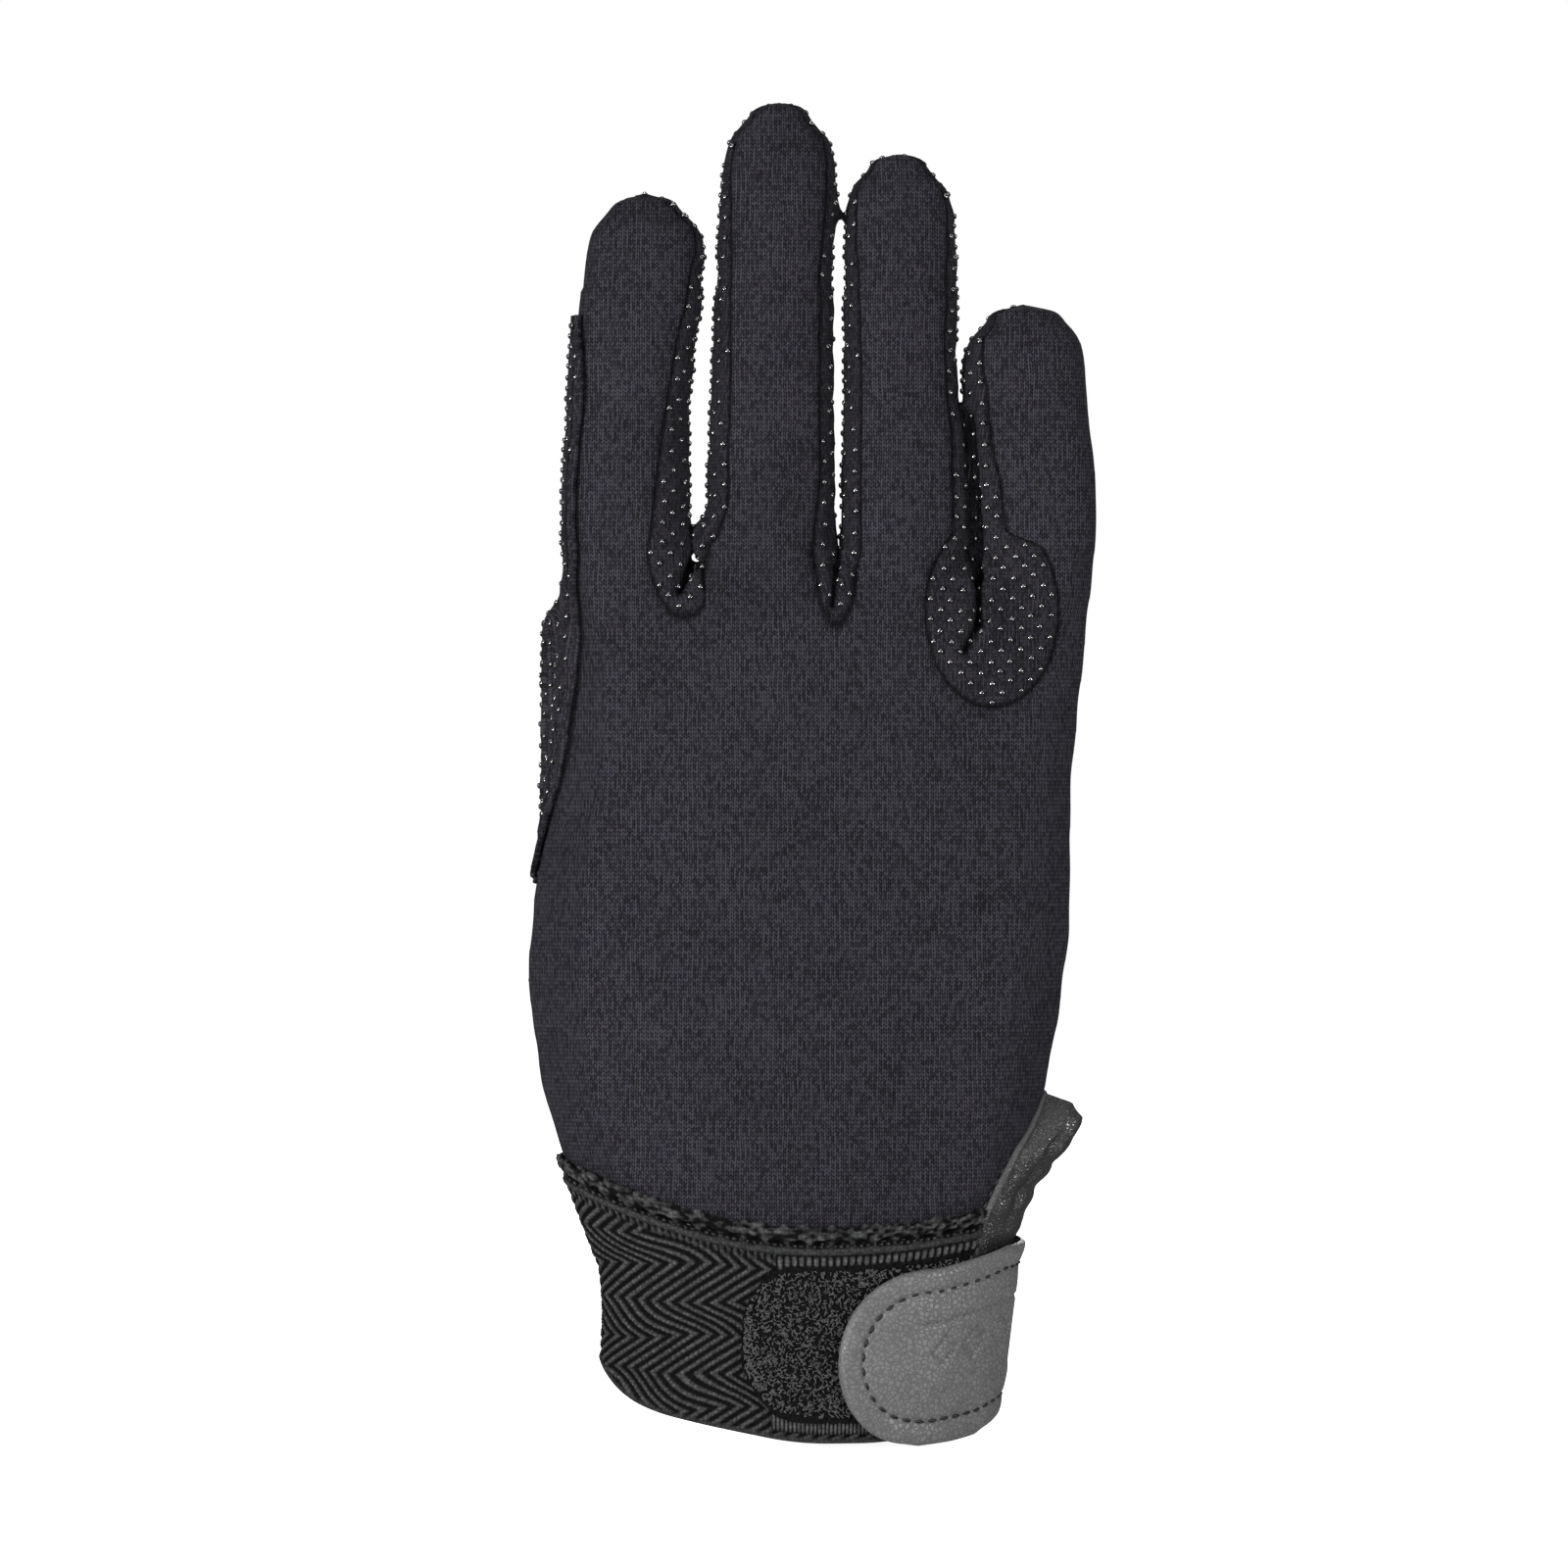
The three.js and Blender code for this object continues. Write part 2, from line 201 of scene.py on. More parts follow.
def copies(name, template, faces, places, cloth=None):
    """One mesh of many copies: places is a list of (origin, x axis, y axis, z axis) arrays."""
    verts = []
    all_faces = []
    for origin, ax, ay, az in places:
        start = len(verts) * len(template)
        verts.append(origin + template[:, :1] * ax + template[:, 1:2] * ay + template[:, 2:3] * az)
        all_faces += [tuple(i + start for i in f) for f in faces]
    return mesh_object(name, np.concatenate(verts), all_faces, cloth)


# ---------------------------------------------------------------- the glove's tubes, measured from the frame


def section(names, z):
    """The lowest and highest x and y where the height z cuts these CAD nodes, or None."""
    hits = []
    for name in names:
        mesh = frame["nodes"][name].data
        points = coords(mesh)
        ends = np.array([e.vertices[:] for e in mesh.edges])
        a, b = points[ends[:, 0]], points[ends[:, 1]]
        crossing = (a[:, 2] - z) * (b[:, 2] - z) < 0
        a, b = a[crossing], b[crossing]
        if len(a):
            t = ((z - a[:, 2]) / (b[:, 2] - a[:, 2]))[:, None]
            hits.append(a + (b - a) * t)
    if not hits:
        return None
    hits = np.concatenate(hits)
    return hits[:, 0].min(), hits[:, 0].max(), hits[:, 1].min(), hits[:, 1].max()


class Tube:
    """An oval tube: its middle x, y and its half width w and half depth d at each height."""

    def __init__(self, names, heights):
        rows = []
        for z in heights:
            cut = section(names, z)
            if cut:
                x0, x1, y0, y1 = cut
                rows.append((z, (x0 + x1) / 2, (y0 + y1) / 2, (x1 - x0) / 2, (y1 - y0) / 2))
        self.z, self.x, self.y, self.w, self.d = np.array(rows).T
        turn = np.radians(np.linspace(-180, 540, 721))
        step = np.hypot(np.gradient(self.w.mean() * np.cos(turn)), np.gradient(self.d.mean() * np.sin(turn)))
        self.turn = np.degrees(turn)
        self.arc = np.cumsum(step) - np.interp(math.pi / 2, turn, np.cumsum(step))

    def at(self, z):
        return [np.interp(z, self.z, row) for row in (self.x, self.y, self.w, self.d)]

    def point(self, angle, z, out=0.0):
        """Points at these angles and heights, pushed out of the surface by out."""
        x, y, w, d = self.at(z)
        a = np.radians(angle)
        return np.stack([x + (w + out) * np.cos(a), y - (d + out) * np.sin(a), z + 0 * a], -1)

    def angle(self, p):
        """Each point's angle, from -90 at the palm round the back to 270."""
        x, y, w, d = self.at(p[:, 2])
        a = np.degrees(np.arctan2(-(p[:, 1] - y) / d, (p[:, 0] - x) / w))
        return np.where(a < -90, a + 360, a)

    def depth(self, p):
        """0 in the tube's middle, 1 on its surface, more outside it."""
        x, y, w, d = self.at(p[:, 2])
        return np.hypot((p[:, 0] - x) / w, (p[:, 1] - y) / d)

    def across(self, angle, z):
        """How far round the tube an angle is from the middle of the back, in millimetres."""
        return -np.interp(angle, self.turn, self.arc) * self.at(z)[2] / self.w.mean()

    def angle_at(self, across, z):
        """The angle that lies this far round the tube from the middle of the back."""
        return np.interp(-across * self.w.mean() / self.at(z)[2], self.arc, self.turn)


def finger_nodes(finger):
    members = frame["record"]["behaviour"]["bodies"][finger + "_finger"]
    return [n for n in members if "patch" not in n]


HAND_PANELS = ("back_panel", "palm_panel", "cuff_elastic", "vent_facing_back", "vent_facing_palm")
hand = Tube(HAND_PANELS, np.arange(14, 157, 2.0))
fingers = {}
TIPS = {}
for finger in FINGERS:
    TIPS[finger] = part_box(finger + "_back")[1].z / MM + 1.6
    fingers[finger] = Tube(finger_nodes(finger), np.arange(KNUCKLE + 8, TIPS[finger] - 1.6, 1.5))
thumb = Tube(("thumb_inner", "thumb_outer"), np.arange(92, 149, 1.5))
TIPS["thumb"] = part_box("thumb_outer")[1].z / MM + 1.2

# ---------------------------------------------------------------- the glove's skin

VOXEL = 0.8
SPLIT = KNUCKLE - 3.5  # where the fingers' skins start: just above the lowest point between two fingers
BEND_END = KNUCKLE + 9.0  # where a folding finger's skin has turned all the way
CROTCH = SPLIT - 2.0  # the lowest point between two fingers
SKIN = 1.0  # thickness of the knit
CUFF_TOP = stations([[32, 38], [60, 35.6], [90, 34.8], [112, 36.8], [135, 41], [158, 45], [180, 47],
                     [270, 45], [325, 46]], soften=9)
VENT_EDGE = stations([[-35, 46], [-20, 51.5], [-8, 57], [0, 60], [8, 57], [20, 50.5], [27, 44.5],
                      [30, 40], [32, 38]])
VENT_SIDE = 32  # degrees from the little finger's side to the vent's ends


def seam_top(angle):
    """The height of the jersey's and the palm's lower edge, for an angle from 0 to 360."""
    near_vent = np.where(angle > 180, angle - 360, angle)
    return np.where(np.abs(near_vent) < VENT_SIDE, VENT_EDGE(near_vent), CUFF_TOP(angle))


def loft(rings, bottom, top):
    """A closed mesh through rings of points, with a point at each end: (points, faces)."""
    count = len(rings[0])
    points = np.concatenate([*rings, [bottom], [top]])
    faces = grid_faces(count, len(rings), wrap=True)
    last = (len(rings) - 1) * count
    for i in range(count):
        k = (i + 1) % count
        faces.append((len(points) - 2, k, i))
        faces.append((len(points) - 1, last + i, last + k))
    return points, faces


def ring_of(x, y, w, d, z, count=48):
    a = np.linspace(0, 2 * math.pi, count, endpoint=False)
    return np.stack([x + w * np.cos(a), y - d * np.sin(a), np.full(count, z)], -1)


HAND_FOOT = 22  # where the skin starts, hidden under the cuff
ROUND_FROM = 138  # where the hand starts to round off towards the fingers
FINGER_FOOT = 118  # where the fingers' tubes start, inside the hand


def slab():
    """The hand without its fingers, rounded off where they begin."""
    rings = []
    for z in np.linspace(HAND_FOOT, CROTCH - 0.3, 64):
        x, y, w, d = hand.at(z)
        rounding = math.sqrt(max(1 - max((z - ROUND_FROM) / (CROTCH - ROUND_FROM), 0) ** 2.4, 0.0))
        rings.append(ring_of(x, y, w - 1.5 * (1 - rounding), max(d * rounding, 0.3), z, 96))
    x, y = hand.at(CROTCH)[:2]
    return loft(rings, (x, y, HAND_FOOT - 1), (x, y, CROTCH))


def finger_tube(finger):
    """A finger, from well inside the hand to its tip."""
    tube, tip = fingers[finger], TIPS[finger]
    rings = []
    for z in np.linspace(FINGER_FOOT, tip - 1.8, 70):
        x, y, w, d = tube.at(z)
        if z < SPLIT:
            hx, _, hw, _ = hand.at(z)
            inside = 3.0 * smooth(SPLIT - z, 6, 30)
            low, high = max(x - w, hx - hw + inside), min(x + w, hx + hw - inside)
            x, w = (low + high) / 2, (high - low) / 2
            d *= 1 - 0.3 * smooth(SPLIT - z, 5, 25)
        w *= 1 + 0.09 * smooth(z, tip - 15, tip - 5)
        rings.append(ring_of(x, y, w, d, z))
    x, y = tube.at(tip)[:2]
    return loft(rings, (*tube.at(FINGER_FOOT)[:2], FINGER_FOOT - 1), (x, y, tip - 0.3))


THUMB_PATH = [  # height, x, y, half width, half depth from inside the palm to the straight thumb
    (50, -25.0, 2.0, 13.0, 9.0), (58, -28.0, 6.0, 13.5, 10.0), (66, -30.8, 11.0, 13.4, 10.2),
    (74, -33.2, 16.2, 12.8, 9.8), (82, -34.9, 20.4, 12.0, 9.0), (92, *[float(v) for v in thumb.at(92)]),
]


def thumb_tube():
    path = np.array(THUMB_PATH)
    heights = np.linspace(path[0, 0], TIPS["thumb"] - 1.8, 70)
    rings = []
    for z in heights:
        if z < path[-1, 0]:
            x, y, w, d = [np.interp(z, path[:, 0], path[:, k]) for k in range(1, 5)]
        else:
            x, y, w, d = thumb.at(z)
        rings.append(ring_of(x, y, w, d, z))
    x, y = thumb.at(TIPS["thumb"])[:2]
    return loft(rings, (*path[0, 1:3], path[0, 0] - 1), (x, y, TIPS["thumb"] - 0.3))


def whole_skin():
    """The hand, fingers and thumb as one smooth surface."""
    points, faces = [], []
    for p, f in [slab(), thumb_tube(), *[finger_tube(n) for n in FINGERS]]:
        start = sum(len(q) for q in points)
        points.append(p)
        faces += [tuple(i + start for i in face) for face in f]
    piece = mesh_object("skin", np.concatenate(points), faces)
    remesh = piece.modifiers.new("Remesh", "REMESH")
    remesh.mode = "VOXEL"
    remesh.voxel_size = VOXEL * MM
    relax = piece.modifiers.new("Relax", "SMOOTH")
    relax.iterations = 7
    return applied(piece)


# The strips between the fingers show on the back of the hand as rounded ends:
# middle x and z, half width and half height
GUSSETS = {
    "index_middle_web": (-21.3, 157.0, 6.6, 14.2),
    "middle_ring_web": (5.0, 156.0, 4.4, 14.6),
    "ring_little_web": (32.0, 143.8, 11.6, 16.6),
}
# A finger's strip: the web it runs up from, and how far it reaches onto the finger's front by height
STRIPS = {
    ("index", "ulnar"): ("index_middle_web", [[158, 6.2], [166, 5.4], [182, 3.2], [199, 2.2], [210, 0.6]]),
    ("middle", "radial"): ("index_middle_web", [[158, 3.2], [182, 3.0], [199, 2.3], [215, 1.6], [226, 0.5]]),
    ("middle", "ulnar"): ("middle_ring_web", [[158, 3.3], [166, 2.2], [182, 1.9], [215, 1.7], [226, 0.5]]),
    ("ring", "radial"): ("middle_ring_web", [[158, 2.9], [182, 2.6], [199, 2.2], [210, 1.4], [219, 0.4]]),
    ("ring", "ulnar"): ("ring_little_web", [[158, 2.4], [182, 1.6], [205, 1.4], [219, 0.4]]),
    ("little", "radial"): ("ring_little_web", [[158, 6.0], [165, 5.1], [173, 4.2], [182, 3.6], [190, 2.0],
                                               [195, 0.5]]),
}
PALM_INSET = 1.1  # how far a strip reaches onto the palm's side of a finger
FAR = 99.0  # further away than any edge
OUTER_SEAM = {"index": 199.0, "little": -26.0}  # where back meets palm on the two outer fingers
HAND_BACK = (-33.0, 184.0)  # and on the hand
THUMB_BASE = (-34.0, 72.0, 17.0, 21.0)  # the gusset that the thumb is set into, seen from the palm


def behind(web):
    """The web's end as it shows on the palm's side."""
    x, z, w, h = GUSSETS[web]
    return 0.97 * x, z + 1.5, 0.72 * w, 0.8 * h


def ellipse_distance(p, x, z, w, h):
    """How far outside an upright ellipse a point is, seen from the front; negative inside."""
    r = np.hypot((p[:, 0] - x) / w, (p[:, 2] - z) / h)
    return (r - 1) * min(w, h)


STRAP_HINGE = np.array([j for j in frame["joints"] if j["name"] == "strap_peel"][0]["pos_m"])
STRAP_OPENS = np.array([0.605, -0.795, 0.0])
STRAP_TURN = (STRAP_HINGE - 0.004 * STRAP_OPENS, STRAP_HINGE + 0.0035 * STRAP_OPENS)
THUMB_START = np.array([-35.7, 14.0, 84.0])
THUMB_END = np.array([-35.7, 24.0, 101.0])


def thumb_bend(p):
    """0 where the thumb's skin starts to turn with the thumb, 1 where it has turned all the way."""
    d = THUMB_END - THUMB_START
    return (p - THUMB_START) @ d / (d @ d)


def owner_of(p):
    """Which tube each point belongs to: 0 the hand, 1 to 4 a finger, 5 the thumb."""
    depth = np.stack([fingers[f].depth(p) for f in FINGERS])
    owner = np.where(p[:, 2] > SPLIT, depth.argmin(0) + 1, 0)
    near_thumb = (thumb.depth(p) < 1.35) & (p[:, 1] > 9) & (thumb_bend(p) > 0)
    return np.where(near_thumb, 5, owner)


def strip_inset(finger, side, z, on_palm):
    """How far in from the finger's side its strip ends, on the back's side or on the palm's."""
    web, table = STRIPS[finger, side]
    x, _, w, _ = fingers[finger].at(z)
    inset = np.full(len(z), PALM_INSET) if on_palm else stations(table)(z)
    wx, wz, ww, wh = behind(web) if on_palm else GUSSETS[web]
    reach = ww * math.sqrt(max(1 - ((SPLIT - wz) / wh) ** 2, 0))
    at_web = (x + w) - (wx - reach) if side == "ulnar" else (wx + reach) - (x - w)
    return inset + (at_web - inset) * (1 - smooth(z, SPLIT, SPLIT + 3.5))


def strip_angle(finger, side, z, on_palm):
    """The same in degrees round the finger from its side."""
    w = fingers[finger].at(z)[2]
    return np.degrees(np.arccos(np.clip(1 - strip_inset(finger, side, z, on_palm) / w, -1, 1)))


def finger_fields(p, finger):
    """How far each point on a finger is inside its knitted back, and inside its palm."""
    tube = fingers[finger]
    z = p[:, 2]
    a = tube.angle(p)
    full = np.where(a < 0, a + 360, a)
    per_degree = (tube.w.mean() + tube.d.mean()) / 2 * math.pi / 180
    if finger == "little":
        low_back, high_palm = OUTER_SEAM["little"], 360 + OUTER_SEAM["little"]
    else:
        low_back = strip_angle(finger, "ulnar", z, False)
        high_palm = 360 - strip_angle(finger, "ulnar", z, True)
    if finger == "index":
        high_back = low_palm = OUTER_SEAM["index"]
    else:
        high_back = 180 - strip_angle(finger, "radial", z, False)
        low_palm = 180 + strip_angle(finger, "radial", z, True)
    back = np.minimum(a - low_back, high_back - a) * per_degree
    palm = np.minimum(full - low_palm, high_palm - full) * per_degree
    x, y, w, _ = tube.at(z)
    near_root = 1 - smooth(z, SPLIT + 1.5, SPLIT + 7)
    by_x = {}
    for on_palm, by_angle in ((False, back), (True, palm)):
        inside = np.full(len(p), FAR)
        if finger != "little":
            inside = np.minimum(inside, x + w - strip_inset(finger, "ulnar", z, on_palm) - p[:, 0])
        if finger != "index":
            inside = np.minimum(inside, p[:, 0] - (x - w + strip_inset(finger, "radial", z, on_palm)))
        mine = (p[:, 1] > y) == on_palm
        by_x[on_palm] = np.where(mine, by_angle + (inside - by_angle) * near_root, by_angle)
    return by_x[False], by_x[True]


def fields(p):
    """Every point's owner, and how far inside the knitted back, the palm and the thumb's gusset it is."""
    owner = owner_of(p)
    a = hand.angle(p)
    back = np.minimum(a - HAND_BACK[0], HAND_BACK[1] - a) * 24 * math.pi / 180
    palm = -back
    front = p[:, 1] < 0
    for web in GUSSETS:
        back = np.where(front, np.minimum(back, ellipse_distance(p, *GUSSETS[web])), back)
        palm = np.where(front, palm, np.minimum(palm, ellipse_distance(p, *behind(web))))
    for k, finger in enumerate(FINGERS, 1):
        mine = owner == k
        back[mine], palm[mine] = finger_fields(p[mine], finger)
    mine = owner == 5
    full = np.mod(thumb.angle(p[mine]), 360)
    back[mine] = -9.0
    palm[mine] = np.minimum(full - 182, 358 - full) * 0.17
    base = np.where(p[:, 1] > 3, -ellipse_distance(p, *THUMB_BASE), -9.0)
    return {"owner": owner, "back": back, "palm": palm, "base": base}


def cut_along(bm, value_of, near=None):
    """Adds edges to the mesh where value_of(points) is zero, so that pieces part on a clean line."""
    bm.verts.ensure_lookup_table()
    points = np.array([v.co for v in bm.verts]) / MM
    values = value_of(points)
    values[np.abs(values) < 0.1] = 0.0
    use = np.ones(len(points), bool) if near is None else near(points)
    crossed = [e for e in bm.edges if use[e.verts[0].index] and use[e.verts[1].index]
               and values[e.verts[0].index] * values[e.verts[1].index] < 0]
    on_line = {bm.verts[i] for i in np.nonzero((values == 0) & use)[0]}
    splits = [(e, e.verts[0], values[e.verts[0].index], values[e.verts[1].index]) for e in crossed]
    for edge, start, a, b in splits:
        on_line.add(bmesh.utils.edge_split(edge, start, a / (a - b))[1])
    for face in {f for v in on_line for f in v.link_faces}:
        ends = [v for v in face.verts if v in on_line]
        if len(ends) == 2 and not any(set(e.verts) == set(ends) for e in face.edges):
            bmesh.utils.face_split(face, ends[0], ends[1])
    bm.verts.index_update()
    bm.faces.index_update()


CREASES = [  # x, z, x, z, depth, width: folds in the strips between the fingers
    (-18.4, 155.5, -22.4, 147.5, 1.9, 0.9),
    (4.9, 151.5, 4.3, 145.0, 1.3, 0.8),
    (28.6, 178.0, 29.6, 164.0, 1.6, 0.8),
    (29.6, 164.0, 29.8, 150.0, 3.2, 0.95),
    (29.8, 150.0, 29.7, 142.0, 2.4, 0.75),
    (29.7, 142.0, 27.2, 137.0, 1.5, 0.7),
]
CREASE_TOP = 180.0
# The share of a gap's narrowing that the left finger takes, and the gap between the two fingers by height
GAPS = {
    ("index", "middle"): (0.1, [[154, 0.1], [156, 0.3], [157.6, 0.7], [159, 1.3], [160, 2.5], [162, 3.6],
                                [164, 3.9]]),
    ("middle", "ring"): (0.5, [[151, 0.1], [152.6, 0.8], [155.7, 1.3], [161, 1.8], [170, 2.1]]),
    ("ring", "little"): (0.6, [[154, 0.1], [163.5, 0.15], [165, 0.75], [168, 1.1], [171, 0.25], [174, 0.3],
                               [182, 1.6]]),
}


def segment_distance(p, x0, z0, x1, z1):
    d = np.array([x1 - x0, z1 - z0])
    q = p[:, [0, 2]] - np.array([x0, z0])
    t = np.clip(q @ d / (d @ d), 0, 1)
    return np.hypot(*(q - t[:, None] * d).T)


def crease_distance(p):
    """How far each point is from the nearest fold, seen from the front."""
    front = (p[:, 1] < 1) & (p[:, 2] < CREASE_TOP)
    return np.where(front, np.min([segment_distance(p, *c[:4]) for c in CREASES], axis=0), FAR)


def close_gaps(p):
    """Brings the facing sides of neighbouring fingers together near their roots, where the strips bulge."""
    p = p.copy()
    z = p[:, 2]
    for (left, right), (left_share, gap) in GAPS.items():
        lx, _, lw, _ = fingers[left].at(z)
        rx, _, rw, _ = fingers[right].at(z)
        narrowing = (rx - rw) - (lx + lw) - np.maximum(stations(gap)(z), 0.15)
        top = gap[-1][0]
        narrowing = narrowing * smooth(z, CROTCH - 12, CROTCH) * (1 - smooth(z, top, top + 6))
        middle = (lx + lw + rx - rw) / 2
        in_web = 1 - smooth(z, CROTCH, CROTCH + 3)
        narrowing = narrowing * (1 - in_web * (1 - smooth(np.abs(p[:, 0] - middle), 0, 3.8)))
        before = p[:, 0].copy()
        for x, w, share, way in ((lx, lw, left_share, 1), (rx, rw, 1 - left_share, -1)):
            from_middle = way * (before - x)
            mine = (from_middle > 0) & ((before < middle) == (way > 0))
            p[:, 0] += np.where(mine, way * narrowing * share * smooth(from_middle / w, 0.4, 0.95), 0)
    return p


SEAM_DEEP = 0.5  # how far the stitched seams draw the cloth in
STRIP_PROUD = 0.15  # how far the dotted strips stand out
LOWER_PROUD, LOWER_TOP = 0.35, 200  # the fuller cloth below the fingers' top joints


def relief(p, f):
    """How far the skin's points move outward: seams sink, dotted strips stand proud and the cloth wavers."""
    back, palm = f["back"], f["palm"]
    height = -SEAM_DEEP * ridge(back, 0.65) + np.where(back < 0, STRIP_PROUD * smooth(-back, 0.2, 1.0), 0)
    height -= np.where(back < 0.5, 0.45 * ridge(palm, 0.6), 0)
    height -= SEAM_DEEP * ridge(f["base"], 0.7) * (palm > 0)
    front = (p[:, 1] < 1) & (p[:, 2] < CREASE_TOP)
    for x0, z0, x1, z1, deep, wide in CREASES:
        r = segment_distance(p, x0, z0, x1, z1)
        fold = deep * ridge(r, wide) - 0.5 * ridge(r - 2.2, 1.3)
        height -= np.where(front & (back < 0), fold, 0)
    height += LOWER_PROUD * (p[:, 2] < LOWER_TOP)
    plain = 0.28 * wobble(p, 38, 0.4) + 0.12 * wobble(p, 13, 1.9)
    height += np.where(back > 1.0, plain, 0.16 * wobble(p, 11, 3.0))
    height += np.where((back < 0) & (palm < 0), 0.12 * wobble(p, 5.0, 5.0), 0)
    return height


UNDER_CUFF = "under the cuff"  # the skin's faces that no panel takes
WEBS_LEFT_OF = {"middle_ring_web": 17.0, "index_middle_web": -8.0}


def name_pieces(p, f):
    """Which piece each face belongs to, from its middle."""
    owner, back, palm = f["owner"], f["back"], f["palm"]
    name = np.where(palm > 0, "palm_panel", "ring_little_web").astype("<U28")
    for web, right_end in WEBS_LEFT_OF.items():
        name = np.where((palm <= 0) & (p[:, 0] < right_end), web, name)
    name = np.where((palm > 0) & (f["base"] > 0), "thumb_gusset", name)
    name = np.where(back > 0, "back_panel", name)
    for k, finger in enumerate(FINGERS, 1):
        ulnar = np.abs(fingers[finger].angle(p)) < 90
        if finger == "little":
            ulnar[:] = False
        if finger == "index":
            ulnar[:] = True
        side = np.where(ulnar, finger + "_fourchette_ulnar", finger + "_fourchette_radial")
        side = np.where(palm > 0, finger + "_palm", side)
        side = np.where(back > 0, finger + "_back", side)
        name = np.where(owner == k, side, name)
    name = np.where(owner == 5, np.where(palm > 0, "thumb_outer", "thumb_inner"), name)
    return name


def cut_skin():
    """The whole skin cut along its seams: its mesh object, its faces' piece names and its points' fields."""
    whole = whole_skin()
    bm = bmesh.new()
    bm.from_mesh(whole.data)
    cut_along(bm, lambda p: p[:, 2] - SPLIT)
    cut_along(bm, thumb_bend, near=lambda p: (thumb.depth(p) < 1.5) & (p[:, 1] > 8) & (p[:, 2] < 100))
    cut_along(bm, lambda p: p[:, 2] - seam_top(np.mod(hand.angle(p), 360)), near=lambda p: p[:, 2] < 66)
    for field in ("back", "palm", "base"):
        cut_along(bm, lambda p: fields(p)[field])
    bm.to_mesh(whole.data)
    bm.free()
    points = coords(whole.data)
    middles = np.array([f.center for f in whole.data.polygons]) / MM  # before the relief moves them
    field = fields(points)
    out = relief(points, field)
    out += SETTLED_SHARE * settled(whole)
    set_coords(whole.data, close_gaps(points + normals(whole.data) * out[:, None]))
    field["crease"] = crease_distance(points)
    names = name_pieces(middles, fields(middles))
    names[middles[:, 2] < seam_top(np.mod(hand.angle(middles), 360))] = UNDER_CUFF
    return whole, names, field


SETTLE_FRAMES = 20
SETTLE_CELL = 4.0  # the size of the coarse copy's faces
SETTLE_CAP = 1.1  # the most that the pressed-out cloth moves
SETTLED_SHARE = 0.7  # how much of that the glove takes


def settled(fine):
    """How far each point moves outward when air presses the cloth out between its pinned seams."""
    coarse = bpy.data.objects.new("settling", fine.data.copy())
    bpy.context.scene.collection.objects.link(coarse)
    remesh = coarse.modifiers.new("Coarse", "REMESH")
    remesh.mode = "VOXEL"
    remesh.voxel_size = SETTLE_CELL * MM
    applied(coarse)
    before = coords(coarse.data)
    field = fields(before)
    seam = np.minimum(np.abs(field["back"]), np.abs(field["palm"]))
    pins = coarse.vertex_groups.new(name="seams")
    for i, weight in enumerate(np.clip(1.15 - seam / 5.0, 0.05, 1)):
        pins.add([i], float(weight), "REPLACE")
    cloth = coarse.modifiers.new("Cloth", "CLOTH")
    cloth.settings.quality = 4
    cloth.settings.mass = 0.15
    cloth.settings.tension_stiffness = cloth.settings.compression_stiffness = 6
    cloth.settings.bending_stiffness = 0.3
    cloth.settings.use_pressure = True
    cloth.settings.uniform_pressure_force = 4
    cloth.settings.vertex_group_mass = "seams"
    cloth.settings.effector_weights.gravity = 0
    for frame_number in range(1, SETTLE_FRAMES + 1):
        bpy.context.scene.frame_set(frame_number)
    out = normals(coarse.data)
    moved = ((coords(applied(coarse).data) - before) * out).sum(1)
    bpy.context.scene.frame_set(1)
    bpy.data.objects.remove(coarse)
    moved = SETTLE_CAP * np.tanh(moved / SETTLE_CAP)
    tree = KDTree(len(before))
    for i, p in enumerate(before):
        tree.insert(Vector(p), i)
    tree.balance()
    result = []
    for p in coords(fine.data):
        near = tree.find_n(Vector(p), 6)
        weight = np.array([1 / (d + 1.0) ** 3 for _, _, d in near])
        result.append((weight * moved[[i for _, i, _ in near]]).sum() / weight.sum())
    result = np.array(result)
    return result - np.median(result)


SIDE_SHARE = 0.6  # the back's cloth turns to the side this share of the glove's depth before its middle


def is_jersey(node):
    """Plain jersey on the back of the hand and the fingers; the rest of the knit has dots."""
    return node.endswith("_back") or node == "back_panel"


def cloth_places(p, node):
    """Each point's place on the flat cloth. The knit runs on from the hand to the fingers without a break."""
    finger = node.split("_")[0]
    tube = fingers[finger] if finger in fingers and "web" not in node else hand
    x, y, w, d = tube.at(p[:, 2])
    across = p[:, 0] - x
    if is_jersey(node):
        reach = np.where(p[:, 1] < y, np.abs(across), w) + np.maximum(p[:, 1] - y + SIDE_SHARE * d, 0)
        u = x + np.sign(across) * reach
    elif "fourchette" in node:
        u = p[:, 0] + p[:, 1] * (1 if node.endswith("ulnar") else -1)
    else:
        u = p[:, 0] + 0.4 * p[:, 1]
    return np.stack([u, p[:, 2]], -1)


def ellipse_below(w, h, middle, top):
    """The area of an upright ellipse's part below the height top."""
    z = np.linspace(middle - h, top, 80)
    return np.trapz(2 * w * np.sqrt(np.clip(1 - ((z - middle) / h) ** 2, 0, 1)), z)


def web_area(web):
    """The flat area of a web: its end on the back, its end on the palm and the saddle between them."""
    _, z, w, h = GUSSETS[web]
    _, palm_z, palm_w, palm_h = behind(web)
    saddle = (w + palm_w) * 2 * hand.at(SPLIT - 8)[3] * 0.6
    return ellipse_below(w, h, z, SPLIT) + ellipse_below(palm_w, palm_h, palm_z, SPLIT) + saddle


